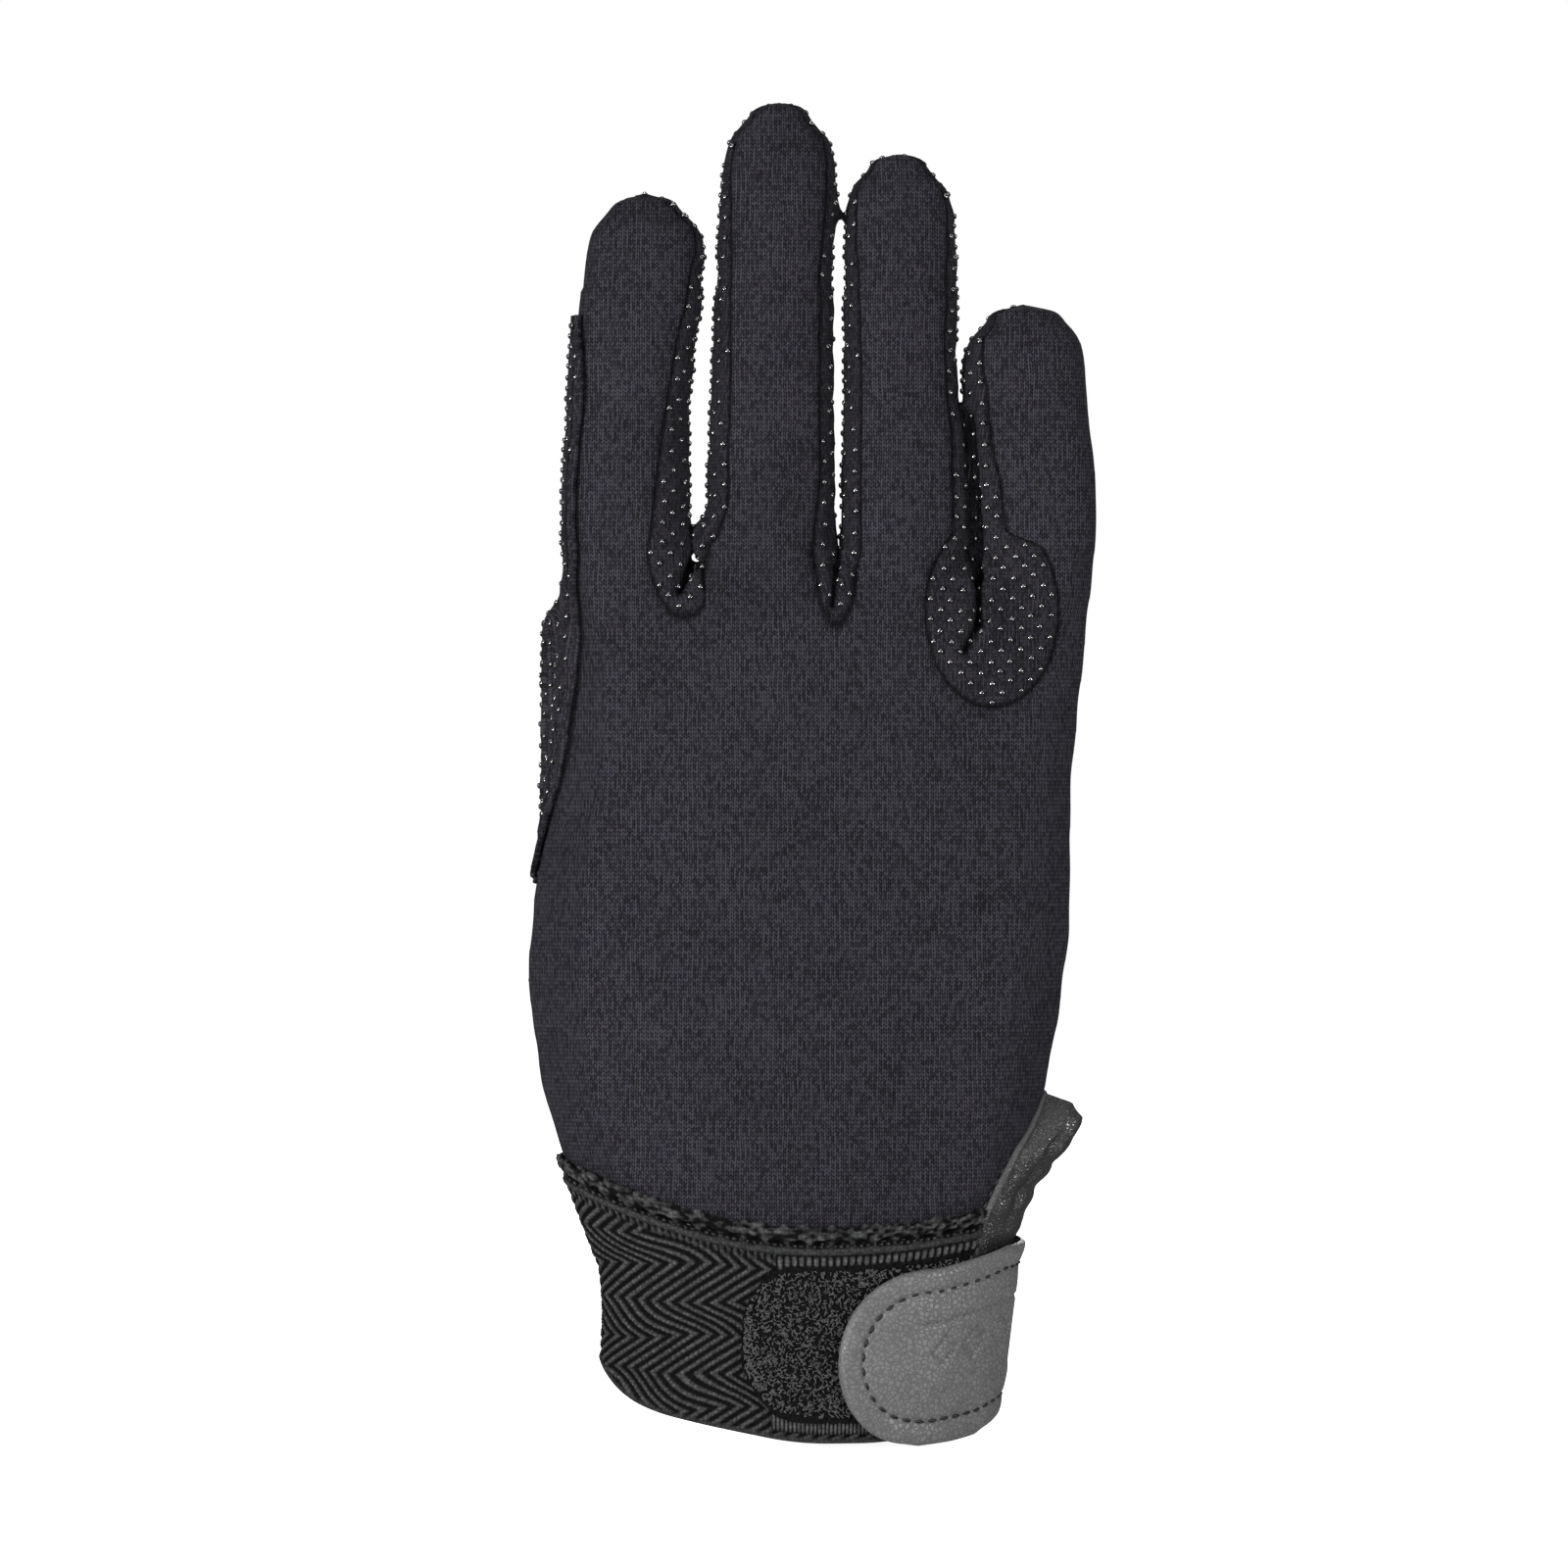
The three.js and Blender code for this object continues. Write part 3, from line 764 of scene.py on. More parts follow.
def strip_area(finger, side):
    """The flat area of a finger's side strip, from its width round the finger at each height."""
    z = np.linspace(SPLIT, TIPS[finger] - 1, 60)
    _, _, w, d = fingers[finger].at(z)
    share = np.linspace(0, 1, 24)[:, None]
    low, high = -strip_angle(finger, side, z, True), strip_angle(finger, side, z, False)
    turn = np.radians(low + (high - low) * share)
    width = np.hypot(w * np.sin(turn), d * np.cos(turn)).mean(0) * np.radians(high - low)
    return np.trapz(width, z)


def flat_area(node):
    """A panel's area as cut, in square metres: from its pattern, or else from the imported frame's part."""
    if node in GUSSETS:
        return web_area(node) * MM ** 2
    if "fourchette" in node:
        finger, _, side = node.split("_")
        return strip_area(finger, side) * MM ** 2
    if node == "thumb_gusset":
        return math.pi * THUMB_BASE[2] * THUMB_BASE[3] * MM ** 2
    return sum(f.area for f in frame["nodes"][node].data.polygons) / 2


LEAST_WIDTH = 0.01


def declare_cloth(piece, width, length, held="stretched"):
    """Clamps a sheet's mean width as cut, in metres, to the least width and keeps nothing; length is not used."""
    max(width, LEAST_WIDTH)


def body_of_node(node):
    return next(b for b, members in frame["record"]["behaviour"]["bodies"].items() if node in members)


def bend_with(piece, body):
    """A piece of the hand is parented to the hand's body. For a finger, the thumb or the strap, where the bend
    starts and ends is worked out but not used, and the piece's transform is only baked into its mesh.
    """
    if body == "hand":
        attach(piece, "hand")
        return
    if body == "thumb":
        start, end = THUMB_START * MM, THUMB_END * MM
    elif body == "strap":
        start, end = STRAP_TURN
    else:
        start, end = np.array([0, 4, SPLIT]) * MM, np.array([0, 4, BEND_END]) * MM
    tuple(start)
    tuple(end)
    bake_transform(piece)


def skin_piece(whole, names, field, node):
    """The faces of one panel, as its own object."""
    faces = [f.vertices[:] for f, n in zip(whole.data.polygons, names) if n == node]
    used = sorted({i for f in faces for i in f})
    index = {v: k for k, v in enumerate(used)}
    p = coords(whole.data)[used]
    piece = mesh_object(node, p, [[index[i] for i in f] for f in faces], cloth_places(p, node))
    # painted shade: this value is small along the seams and in the folds, and the knit's material darkens there
    seam = np.minimum(np.abs(field["back"][used]), np.abs(field["palm"][used]))
    seam = np.minimum(seam, np.maximum(field["crease"][used] - 0.35, 0))
    set_attribute(piece.data, "seam", seam)
    return piece


whole, face_names, vertex_fields = cut_skin()
skin_tree = tree_of(whole.data)

# ---------------------------------------------------------------- materials


class Finish:
    """Builds one material's nodes round a Principled shader."""

    def __init__(self, name, rough, sheen=0.0, specular=0.5):
        self.material = bpy.data.materials.new(name)
        self.material.use_nodes = True
        self.nodes = self.material.node_tree.nodes
        self.links = self.material.node_tree.links
        self.shader = next(n for n in self.nodes if n.type == "BSDF_PRINCIPLED")
        self.set(self.shader, "Roughness", rough)
        self.set(self.shader, "Specular IOR Level", specular)
        self.set(self.shader, "Sheen Weight", sheen)
        self.set(self.shader, "Sheen Roughness", 0.45)

    def set(self, node, socket, value):
        if isinstance(value, bpy.types.NodeSocket):
            self.links.new(value, node.inputs[socket])
        else:
            node.inputs[socket].default_value = value

    def node(self, kind, out=0, inputs=None, **settings):
        n = self.nodes.new("ShaderNode" + kind)
        for key, value in settings.items():
            setattr(n, key, value)
        for socket, value in (inputs or {}).items():
            self.set(n, socket, value)
        return n.outputs[out]

    def math(self, operation, a, b=0.0, c=0.0):
        return self.node("Math", operation=operation, inputs={0: a, 1: b, 2: c})

    def times(self, a, b):
        return self.math("MULTIPLY", a, b)

    def plus(self, a, b):
        return self.math("ADD", a, b)

    def part(self, a):
        """What is left of a after its whole number."""
        return self.math("FRACT", a)

    def ramp(self, value, low, high, to_low=0.0, to_high=1.0):
        return self.node("MapRange", inputs={0: value, 1: low, 2: high, 3: to_low, 4: to_high})

    def blend(self, factor, a, b):
        n = self.nodes.new("ShaderNodeMix")
        n.data_type = "RGBA"
        self.set(n, "Factor", factor)
        for socket, value in ((6, a), (7, b)):
            if isinstance(value, bpy.types.NodeSocket):
                self.links.new(value, n.inputs[socket])
            else:
                n.inputs[socket].default_value = (*value, 1)
        return n.outputs[2]

    def cloth(self):
        """The place on the flat cloth, u and v in millimetres, and both as one vector."""
        uv = self.node("UVMap", uv_map="cloth")
        parts = self.nodes.new("ShaderNodeSeparateXYZ")
        self.links.new(uv, parts.inputs[0])
        return parts.outputs[0], parts.outputs[1], uv

    def place(self):
        """The place on the object at rest, in millimetres."""
        return self.node("VectorMath", operation="SCALE",
                         inputs={0: self.node("TexCoord", out=3), "Scale": 1 / MM})

    def noise(self, vector, size, detail=2.0, rough=0.5):
        return self.node("TexNoise", inputs={
            "Vector": vector, "Scale": 1 / size, "Detail": detail, "Roughness": rough})

    def bump(self, height, depth_mm, strength=1.0):
        normal = self.node("Bump", inputs={"Height": height, "Distance": depth_mm * MM, "Strength": strength})
        self.links.new(normal, self.shader.inputs["Normal"])

    def colour(self, value):
        self.set(self.shader, "Base Color", value)


def grey(level, warm=0.0):
    """A near grey; warm above 0 leans to red and below 0 to blue."""
    return (level * (1 + warm), level, level * (1 - warm))


def knit(name, wale, course, dark, light, fuzz):
    """Jersey: columns of small V stitches, uneven from stitch to stitch, with lint, one leg of each V painted
    lighter as if lit from the side, and painted shade along the seams and folds.
    """
    f = Finish(name, 0.95, specular=0.04)
    u, v, uv = f.cloth()
    drift = f.times(f.math("SUBTRACT", f.noise(uv, 7.0), 0.5), wale * 0.9)
    columns = f.math("DIVIDE", f.plus(u, drift), wale)
    off_middle = f.math("ABSOLUTE", f.math("SUBTRACT", f.part(columns), 0.5))
    leg = f.math("SINE", f.times(off_middle, 2 * math.pi))
    rows = f.math("SUBTRACT", f.math("DIVIDE", v, course), f.times(off_middle, 1.15))
    stitch = f.math("SINE", f.times(f.part(rows), math.pi))
    # painted light: the second half of each wale is made lighter, as if one leg of each V were lit from the side
    lean_and_side_light = f.ramp(f.part(columns), 0.42, 0.58, 0.78, 1.15)
    cell = f.node("CombineXYZ", inputs={
        0: f.math("FLOOR", f.times(columns, 2.0)), 1: f.math("FLOOR", rows)})
    uneven = f.node("TexWhiteNoise", noise_dimensions="2D", inputs={"Vector": cell})
    leg = f.math("MULTIPLY_ADD", leg, 0.8, 0.2)
    stitch = f.math("MULTIPLY_ADD", stitch, 0.75, 0.25)
    height = f.times(leg, stitch)
    hair = f.noise(uv, 0.5, detail=3.0, rough=0.7)
    height = f.plus(f.times(height, 1 - fuzz), f.times(hair, fuzz * 1.4))
    worn = f.ramp(f.noise(uv, 19.0, detail=4.0), 0.35, 0.7, 0.9, 1.12)
    shade = f.times(f.times(f.ramp(height, 0.15, 0.95), worn), lean_and_side_light)
    shade = f.times(shade, f.ramp(uneven, 0.0, 1.0, 0.4, 1.55))
    # painted shade: darker towards the seams and in the folds between the fingers
    seam = f.ramp(f.node("Attribute", out=2, attribute_name="seam"), 0.0, 0.6, 0.12, 1.0)
    shade = f.times(shade, seam)
    base = f.blend(shade, dark, light)
    tint = f.ramp(f.noise(uv, 6.0, detail=3.0), 0.52, 0.78, 0.0, 0.3)
    blue = f.blend(shade, dark, tuple(c * k for c, k in zip(light, (0.92, 0.92, 1.22))))
    base = f.blend(tint, base, blue)
    specks = f.node("TexVoronoi", inputs={"Vector": uv, "Scale": 1 / 9.0, "Randomness": 1.0})
    lint = f.ramp(specks, 0.03, 0.018, 0.0, 0.12)
    f.colour(f.blend(lint, base, grey(0.12)))
    f.bump(height, 0.22, 1.0)
    return f.material


def elastic():
    """Woven elastic: the ribs are in the mesh, and the yarn's small loops are here, with painted shade in the gaps
    between the ribs and between the loops.
    """
    f = Finish("wrist elastic", 0.7, specular=0.03)
    uv = f.cloth()[2]
    rib = f.node("Attribute", out=2, attribute_name="rib")
    turns = f.node("TexVoronoi", inputs={"Vector": uv, "Scale": 1 / 0.62, "Randomness": 0.55})
    loops = f.ramp(turns, 0.0, 0.7, 1.0, 0.0)
    fibre = f.noise(uv, 0.18, detail=2.0)
    height = f.plus(f.times(loops, 0.7), f.times(fibre, 0.5))
    # painted shade: the colour darkens where the rib is low and between the yarn's loops
    shade = f.times(f.ramp(rib, 0.25, 0.9, 0.04, 1.0), f.ramp(height, 0.15, 0.95, 0.25, 1.1))
    f.colour(f.blend(shade, grey(0.0008), grey(0.078, -0.01)))
    f.bump(height, 0.2, 0.9)
    return f.material


def plush():
    """Loop pile: a dark mat of shiny fibres."""
    f = Finish("loop pile", 0.6, specular=0.03)
    uv = f.cloth()[2]
    tangle = f.noise(uv, 0.3, detail=3.0, rough=0.75)
    f.colour(f.blend(f.ramp(tangle, 0.4, 0.65), grey(0.0008), grey(0.01)))
    f.bump(tangle, 0.35, 1.0)
    return f.material


def filament(name, level, rough):
    """Fine plastic or thread, a little uneven in colour."""
    f = Finish(name, rough, specular=0.5)
    uneven = f.noise(f.place(), 0.8, detail=2.0)
    f.colour(f.blend(f.ramp(uneven, 0.3, 0.7), grey(level * 0.7), grey(level * 1.3)))
    f.bump(f.noise(f.place(), 0.15), 0.03, 0.6)
    return f.material


def leather(name, level, grain, rough):
    """Coated leather: a pebbled grain, lighter on its crowns, with soft wear."""
    f = Finish(name, rough, specular=0.5)
    place = f.place()
    bent = f.node("VectorMath", operation="ADD", inputs={
        0: place, 1: f.node("TexNoise", out=1, inputs={"Vector": place, "Scale": 0.9})})
    cells = f.node("TexVoronoi", feature="DISTANCE_TO_EDGE", inputs={"Vector": bent, "Scale": 1 / grain})
    pebble = f.ramp(cells, 0.0, 0.22)
    pores = f.noise(place, 0.25, detail=2.0)
    height = f.plus(f.times(pebble, 0.8), f.times(pores, 0.35))
    worn = f.ramp(f.noise(place, 6.0, detail=3.0), 0.3, 0.75, 0.82, 1.15)
    shade = f.times(f.ramp(height, 0.1, 1.1, 0.3, 1.0), worn)
    f.colour(f.blend(shade, grey(level * 0.2), grey(level)))
    f.set(f.shader, "Roughness", f.ramp(pebble, 0.0, 1.0, rough + 0.2, rough))
    f.bump(height, 0.07, 0.9)
    return f.material


def rubber(name, level, rough):
    """Moulded rubber, slightly uneven so that its glints aren't all alike."""
    f = Finish(name, rough, specular=1.0)
    f.set(f.shader, "IOR", 1.8)
    place = f.place()
    dust = f.ramp(f.noise(place, 1.6, detail=3.0), 0.45, 0.75)
    f.colour(f.blend(dust, grey(level), grey(level * 2.5)))
    f.set(f.shader, "Roughness", f.ramp(f.noise(place, 2.2), 0.3, 0.7, rough, rough + 0.08))
    f.bump(f.noise(place, 0.5), 0.008, 0.5)
    return f.material


JERSEY = knit("jersey", 0.82, 0.68, (0.002, 0.002, 0.0023), (0.0355, 0.034, 0.0418), 0.16)
DOTTED = knit("dotted knit", 0.74, 0.62, (0.0015, 0.0015, 0.0018), (0.027, 0.0252, 0.0305), 0.34)
ELASTIC = elastic()
PILE = plush()
PILE_LOOPS = filament("pile fibre", 0.05, 0.35)
HOOKS = filament("hook plastic", 0.01, 0.4)
THREAD = filament("black thread", 0.004, 0.55)
TAB_LEATHER = leather("strap leather", 0.1, 0.85, 0.42)
VENT_LEATHER = leather("vent leather", 0.02, 0.6, 0.24)
PIPING = leather("piping leather", 0.045, 0.6, 0.4)
DOTS = rubber("grip dots", 0.003, 0.14)
EDGE = filament("elastic edge", 0.012, 0.7)
SLOTS = {  # the record's slots, and the materials that show each of them
    "dotted_knit": [DOTTED, DOTS],
    "wrist_elastic": [ELASTIC, EDGE],
    "loop_pile": [PILE, PILE_LOOPS],
    "hook_tape": [HOOKS],
    "synthetic_leather": [TAB_LEATHER, VENT_LEATHER, PIPING],
}


def finish_piece(piece, material, body, *nodes):
    """Gives a piece its material, parents it to the hand's body if it is the hand's or else bakes its transform
    into its mesh, and hides the CAD nodes it stands for.
    """
    piece.data.materials.clear()
    piece.data.materials.append(material)
    for slot, materials in SLOTS.items():
        material in materials
    bend_with(piece, body)
    if nodes:
        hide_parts(*nodes)
    return piece


# ---------------------------------------------------------------- the knitted panels

for node in sorted(set(face_names)):
    if node == UNDER_CUFF:
        continue
    panel = skin_piece(whole, face_names, vertex_fields, node)
    panel.name = node + "_cloth"
    low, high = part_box(node)
    tall = high.z - low.z
    thicken(panel, SKIN)
    finish_piece(panel, JERSEY if is_jersey(node) else DOTTED, body_of_node(node), node)
    declare_cloth(panel, flat_area(node) / tall, tall)
bpy.data.objects.remove(whole)

# ---------------------------------------------------------------- grip dots

DOT_RADIUS = 0.57
DOT_HEIGHT = 0.42
DOT_STEP = 3.5
DOT_ROW = 1.8
DOT_GAP = 2.0  # the least distance between two dots
DOT_STRAY = 0.1


def dome(radius, height, around=12, rings=5):
    """A dome's points and faces, with its foot a little under the surface."""
    points = []
    for k in range(rings):
        tilt = k / rings * math.pi / 2
        for i in range(around):
            a = 2 * math.pi * i / around
            points.append((radius * math.cos(tilt) * math.cos(a), radius * math.cos(tilt) * math.sin(a),
                           height * math.sin(tilt) - 0.12 * (k == 0)))
    points.append((0, 0, height))
    faces = grid_faces(around, rings, wrap=True)
    top = (rings - 1) * around
    faces += [(top + i, top + (i + 1) % around, len(points) - 1) for i in range(around)]
    faces.append(tuple(reversed(range(around))))
    return np.array(points), faces


def axes_on(normal):
    """Two directions along a surface, and its normal."""
    n = np.array(normal, float)
    n /= np.linalg.norm(n)
    side = np.cross(n, (0.0, 0.0, 1.0) if abs(n[2]) < 0.9 else (1.0, 0.0, 0.0))
    side /= np.linalg.norm(side)
    return side, np.cross(n, side), n


def rays_through(tree, start, direction, reach):
    """Every place where a ray enters the surface: (point, normal, face)."""
    at, direction = Vector(start), Vector(direction)
    hits = []
    while reach > 0:
        place, normal, face, distance = tree.ray_cast(at, direction, reach)
        if place is None:
            return hits
        if normal.dot(direction) < -0.45:
            hits.append((np.array(place), np.array(normal), face))
        at = place + direction * 0.05
        reach -= distance + 0.05
    return hits


def lattice(low, high):
    """Dot places, in rows that are shifted by half a step from one to the next."""
    for row, v in enumerate(np.arange(low[1], high[1], DOT_ROW)):
        for u in np.arange(low[0] + DOT_STEP / 2 * (row % 2), high[0], DOT_STEP):
            drift_u = 0.6 * math.sin(v / 8.0) + RNG.normal(0, DOT_STRAY)
            drift_v = 0.5 * math.sin(u / 6.0) + RNG.normal(0, DOT_STRAY)
            yield u + drift_u, v + drift_v


def dot_places(tree, low, high):
    """Lattice places projected onto the surface from the palm, the front, both sides and above."""
    low, high = np.array(low, float), np.array(high, float)
    far = float(np.linalg.norm(high - low))
    for axis, way in ((1, -1), (1, 1), (0, 1), (0, -1), (2, -1)):
        across, up = {0: (1, 2), 1: (0, 2), 2: (0, 1)}[axis]
        direction = np.zeros(3)
        direction[axis] = way
        for u, v in lattice(low[[across, up]], high[[across, up]]):
            start = np.zeros(3)
            start[[across, up]] = u, v
            start[axis] = low[axis] - 5 if way > 0 else high[axis] + 5
            yield from rays_through(tree, start, direction, far + 10)


class Spacing:
    """Keeps places at least a gap apart."""

    def __init__(self, gap):
        self.gap, self.cells = gap, {}

    def takes(self, p):
        cell = tuple(np.floor(p / self.gap).astype(int))
        near = [q for i in (-1, 0, 1) for j in (-1, 0, 1) for k in (-1, 0, 1)
                for q in self.cells.get((cell[0] + i, cell[1] + j, cell[2] + k), ())]
        if any(np.linalg.norm(p - q) < self.gap for q in near):
            return False
        self.cells.setdefault(cell, []).append(p)
        return True


def dots_object(name, places):
    """places is a list of (point, normal)."""
    template, faces = dome(DOT_RADIUS, DOT_HEIGHT)
    return copies(name, template, faces, [(p, *axes_on(n)) for p, n in places])


def patch_front(z):
    """How far forward the index patch reaches, by height."""
    return np.interp(z, [97, 105, 114, 131, 158, 184, 196], [0.5, -2.5, -3.9, -4.5, -4.7, -4.6, -2.6])


PATCH_BACK = 6.5
PATCH_FOOT, PATCH_TOP = 96.5, 195.3


def under_patch(p):
    return p[0] < -37 and PATCH_FOOT < p[2] < PATCH_TOP and patch_front(p[2]) - 0.4 < p[1] < PATCH_BACK


spacing = Spacing(DOT_GAP)
dots = {}
for p, n, face in dot_places(skin_tree, (-50, -22, 40), (52, 33, 236)):
    node = str(face_names[face])
    if node == UNDER_CUFF or is_jersey(node) or under_patch(p):
        continue
    f = fields(p[None])
    if f["back"][0] > -0.45 or abs(f["palm"][0]) < 0.3 or not spacing.takes(p):
        continue
    dots.setdefault(body_of_node(node), []).append((p, n))
for body, places in dots.items():
    finish_piece(dots_object("grip_dots_" + body, places), DOTS, body)

# ---------------------------------------------------------------- stitches


def capsule(length, radius, around=6, rings=5):
    """A short thread lying along x: thick in the middle, its ends dipping into the cloth."""
    points = []
    for k in range(rings):
        t = k / (rings - 1)
        r = radius * (0.35 + 0.65 * math.sin(math.pi * t))
        for i in range(around):
            a = 2 * math.pi * i / around
            points.append((length * (t - 0.5), r * math.cos(a), r * math.sin(a) - radius * (2 * t - 1) ** 2))
    faces = [face[::-1] for face in grid_faces(around, rings, wrap=True)]
    faces.append(tuple(range(around)))
    faces.append(tuple(reversed(range((rings - 1) * around, rings * around))))
    return np.array(points), faces


def along(path, pitch):
    """Points every pitch millimetres along a path, and the path's direction there."""
    path = np.asarray(path, float)
    run = np.concatenate([[0], np.cumsum(np.linalg.norm(np.diff(path, axis=0), axis=1))])
    at = np.arange(pitch / 2, run[-1], pitch)
    here = np.stack([np.interp(at, run, path[:, k]) for k in range(3)], -1)
    ahead = np.stack([np.interp(at + 0.2, run, path[:, k]) for k in range(3)], -1)
    behind_it = np.stack([np.interp(at - 0.2, run, path[:, k]) for k in range(3)], -1)
    way = ahead - behind_it
    return here, way / np.linalg.norm(way, axis=1)[:, None]


def stitches(name, path, outward, pitch, length, radius, lift=0.0):
    """Thread stitches along a path. outward(points) gives the surface's normals there."""
    here, way = along(path, pitch)
    out = outward(here)
    template, faces = capsule(length, radius)
    places = []
    for p, x, n in zip(here, way, out):
        y = np.cross(n, x)
        y /= np.linalg.norm(y)
        places.append((p + n * lift, x, y, np.cross(x, y)))
    return copies(name, template, faces, places)


def tube_object(name, path, radius, around=10):
    """A round tube along a path, closed at both ends."""
    path = np.asarray(path, float)
    way = np.gradient(path, axis=0)
    way /= np.linalg.norm(way, axis=1)[:, None]
    side = np.cross(way, (0.0, 0.3, 1.0))
    side /= np.linalg.norm(side, axis=1)[:, None]
    up = np.cross(side, way)
    a = np.linspace(0, 2 * math.pi, around, endpoint=False)
    circle = np.cos(a)[:, None], np.sin(a)[:, None]
    rings = [p + radius * (circle[0] * s + circle[1] * u) for p, s, u in zip(path, side, up)]
    return mesh_object(name, *loft(rings, path[0], path[-1]))


# ---------------------------------------------------------------- the index finger's patch


def index_side(y, z):
    """Where the glove's index side is at this y, kept off its rounded front, and height: (point, normal)."""
    place, normal, _, _ = skin_tree.ray_cast(Vector((-70, min(max(y, -9), 9), z)), Vector((1, 0, 0)), 60)
    return np.array(place), np.array(normal)


PATCH_LIFT = 1.0
PATCH_WIDTH = 13.0  # as cut, with its front edge folded under


def patch_place(u, v):
    """u runs from the folded front edge round to the back, v from the foot to the squared top."""
    z = PATCH_FOOT + (PATCH_TOP - PATCH_FOOT) * v
    front = patch_front(z)
    y = front + (PATCH_BACK - front) * u
    inset = y - front
    fold = ridge(inset - 0.5, 0.42)
    lift = 0.7 + PATCH_LIFT * (0.55 + 0.3 * fold) + 0.12 * wobble(np.stack([y * 0, y, z], -1), 9, 0.7)
    lift -= 0.35 * ridge(inset - 1.35, 0.3)
    points = []
    for yy, zz, out in zip(y, z, lift):
        p, n = index_side(yy, zz)
        points.append(p + n * out)
    return np.array(points), np.stack([y, z], -1)


patch = sheet_object("index_patch_cloth", patch_place, 26, 190, 0.8)
patch_tree = tree_of(patch.data)
_, patch_y, patch_z = coords(patch.data).T
# painted shade: the knit darkens along the stitched groove 1.3 mm in from the folded front edge
set_attribute(patch.data, "seam", 0.15 + np.abs(patch_y - patch_front(patch_z) - 1.3))
finish_piece(patch, DOTTED, "index_finger", "index_patch_lower", "index_patch_upper")
declare_cloth(patch, PATCH_WIDTH * MM, (PATCH_TOP - PATCH_FOOT) * MM)

patch_dots = []
spacing = Spacing(DOT_GAP)
for p, n, _ in dot_places(patch_tree, (-52, -8, PATCH_FOOT), (-30, 8, PATCH_TOP)):
    front = patch_front(p[2])
    if n[0] < 0.2 and front + 0.8 < p[1] and PATCH_FOOT + 1 < p[2] < PATCH_TOP - 0.7 and spacing.takes(p):
        patch_dots.append((p, n))
finish_piece(dots_object("grip_dots_patch", patch_dots), DOTS, "index_finger")

# ---------------------------------------------------------------- the cuff

CUFF_FROM, CUFF_TO = 32.0, 325.0  # the elastic's ends, at the vent
CUFF_FOOT = stations([[0, 3], [32, 3], [60, 0.6], [88, 0.6], [110, 3.0], [135, 5.6], [150, 8.2], [165, 12],
                      [180, 15], [225, 9], [270, 1], [325, 2]], soften=7)
TAPER = 2.2  # how much the little finger's side draws in towards the cuff's foot


def on_cuff(angle, z, out=0.0):
    """A point on the cuff, out millimetres off its surface."""
    angle, z = np.broadcast_arrays(np.asarray(angle, float), np.asarray(z, float))
    p = hand.point(angle, np.maximum(z, 14.0), out)
    p[..., 2] = z
    p[..., 0] -= TAPER * smooth(14 - z, 0, 16) * smooth(np.cos(np.radians(angle)), 0, 1)
    return p


def cuff_normal(p):
    """The direction straight out of the cuff at each point."""
    x, y, w, d = hand.at(np.maximum(p[:, 2], 14))
    n = np.stack([(p[:, 0] - x) / w ** 2, (p[:, 1] - y) / d ** 2, 0 * x], -1)
    return n / np.linalg.norm(n, axis=1)[:, None]


CUFF_THICK = 1.3
ELASTIC_WIDTH = 40.0  # a stock width of woven elastic
RIB_BAND = 6.2
RIB_PITCH = 1.5
RIB_SLOPE = math.radians(33)
RIB_HEIGHT = 0.5


def herringbone(s, z):
    """The height of the elastic's slanting ribs, from 0 to 1."""
    zigzag = np.abs(np.mod(z / RIB_BAND, 2) - 1) * RIB_BAND
    along_rib = s * math.sin(RIB_SLOPE) + zigzag * math.cos(RIB_SLOPE)
    rib = (0.5 - 0.5 * np.cos(2 * math.pi * along_rib / RIB_PITCH)) ** 0.9
    yarn = 0.85 + 0.15 * np.sin(2 * math.pi * (s * math.cos(RIB_SLOPE) - zigzag * math.sin(RIB_SLOPE)) / 0.8)
    return rib * yarn


def arc_of(angle):
    return hand.across(angle, 20.0)


def elastic_place(u, v):
    angle = CUFF_FROM + (CUFF_TO - CUFF_FROM) * u
    low, high = CUFF_FOOT(angle), CUFF_TOP(angle) - 0.6
    z = low + (high - low) * v
    s = arc_of(angle)
    under_seam = smooth(high - z, 1.2, 4.5)
    strain = wobble(np.stack([s, 0 * s, z], -1), 17, 0.6)
    rib = herringbone(s + 1.1 * strain, z + 0.8 * strain) * under_seam
    rib *= 0.86 + 0.14 * wobble(np.stack([s, 0 * s, z], -1), 2.1, 2.2)
    rib += (1 - under_seam) * 0.75 * np.sin(math.pi * s / 1.05) ** 2
    rib = 0.5 + (rib - 0.5) * smooth(z - low, 0.2, 1.4)
    to_index = smooth(-np.cos(np.radians(angle)), 0.3, 1.0)
    waist = -0.8 * np.sin(math.pi * np.clip(v, 0, 1)) ** 2 - 1.3 * to_index * smooth(34 - z, 0, 14)
    edge = 0.35 * ridge(z - low, 0.7)
    points = on_cuff(angle, z, CUFF_THICK + waist + RIB_HEIGHT * (rib - 0.5) + edge)
    return points, np.stack([s, z], -1), rib


DENSE = 1.0
cuff_piece = sheet_object("cuff_elastic_weave", elastic_place, int(460 * DENSE), int(140 * DENSE), CUFF_THICK)
finish_piece(cuff_piece, ELASTIC, "hand", "cuff_elastic")
CUFF_LENGTH = abs(arc_of(CUFF_TO) - arc_of(CUFF_FROM)) * MM
declare_cloth(cuff_piece, ELASTIC_WIDTH * MM, CUFF_LENGTH)

# A thin dark cord runs along the cuff's foot.
edge_angles = np.linspace(CUFF_FROM, CUFF_TO, 160)
edge_out = 0.0 - 1.3 * smooth(-np.cos(np.radians(edge_angles)), 0.3, 1.0)
edge = tube_object("cuff_foot_cord", on_cuff(edge_angles, CUFF_FOOT(edge_angles) + 0.3, edge_out), 0.6, 8)
finish_piece(edge, EDGE, "hand")

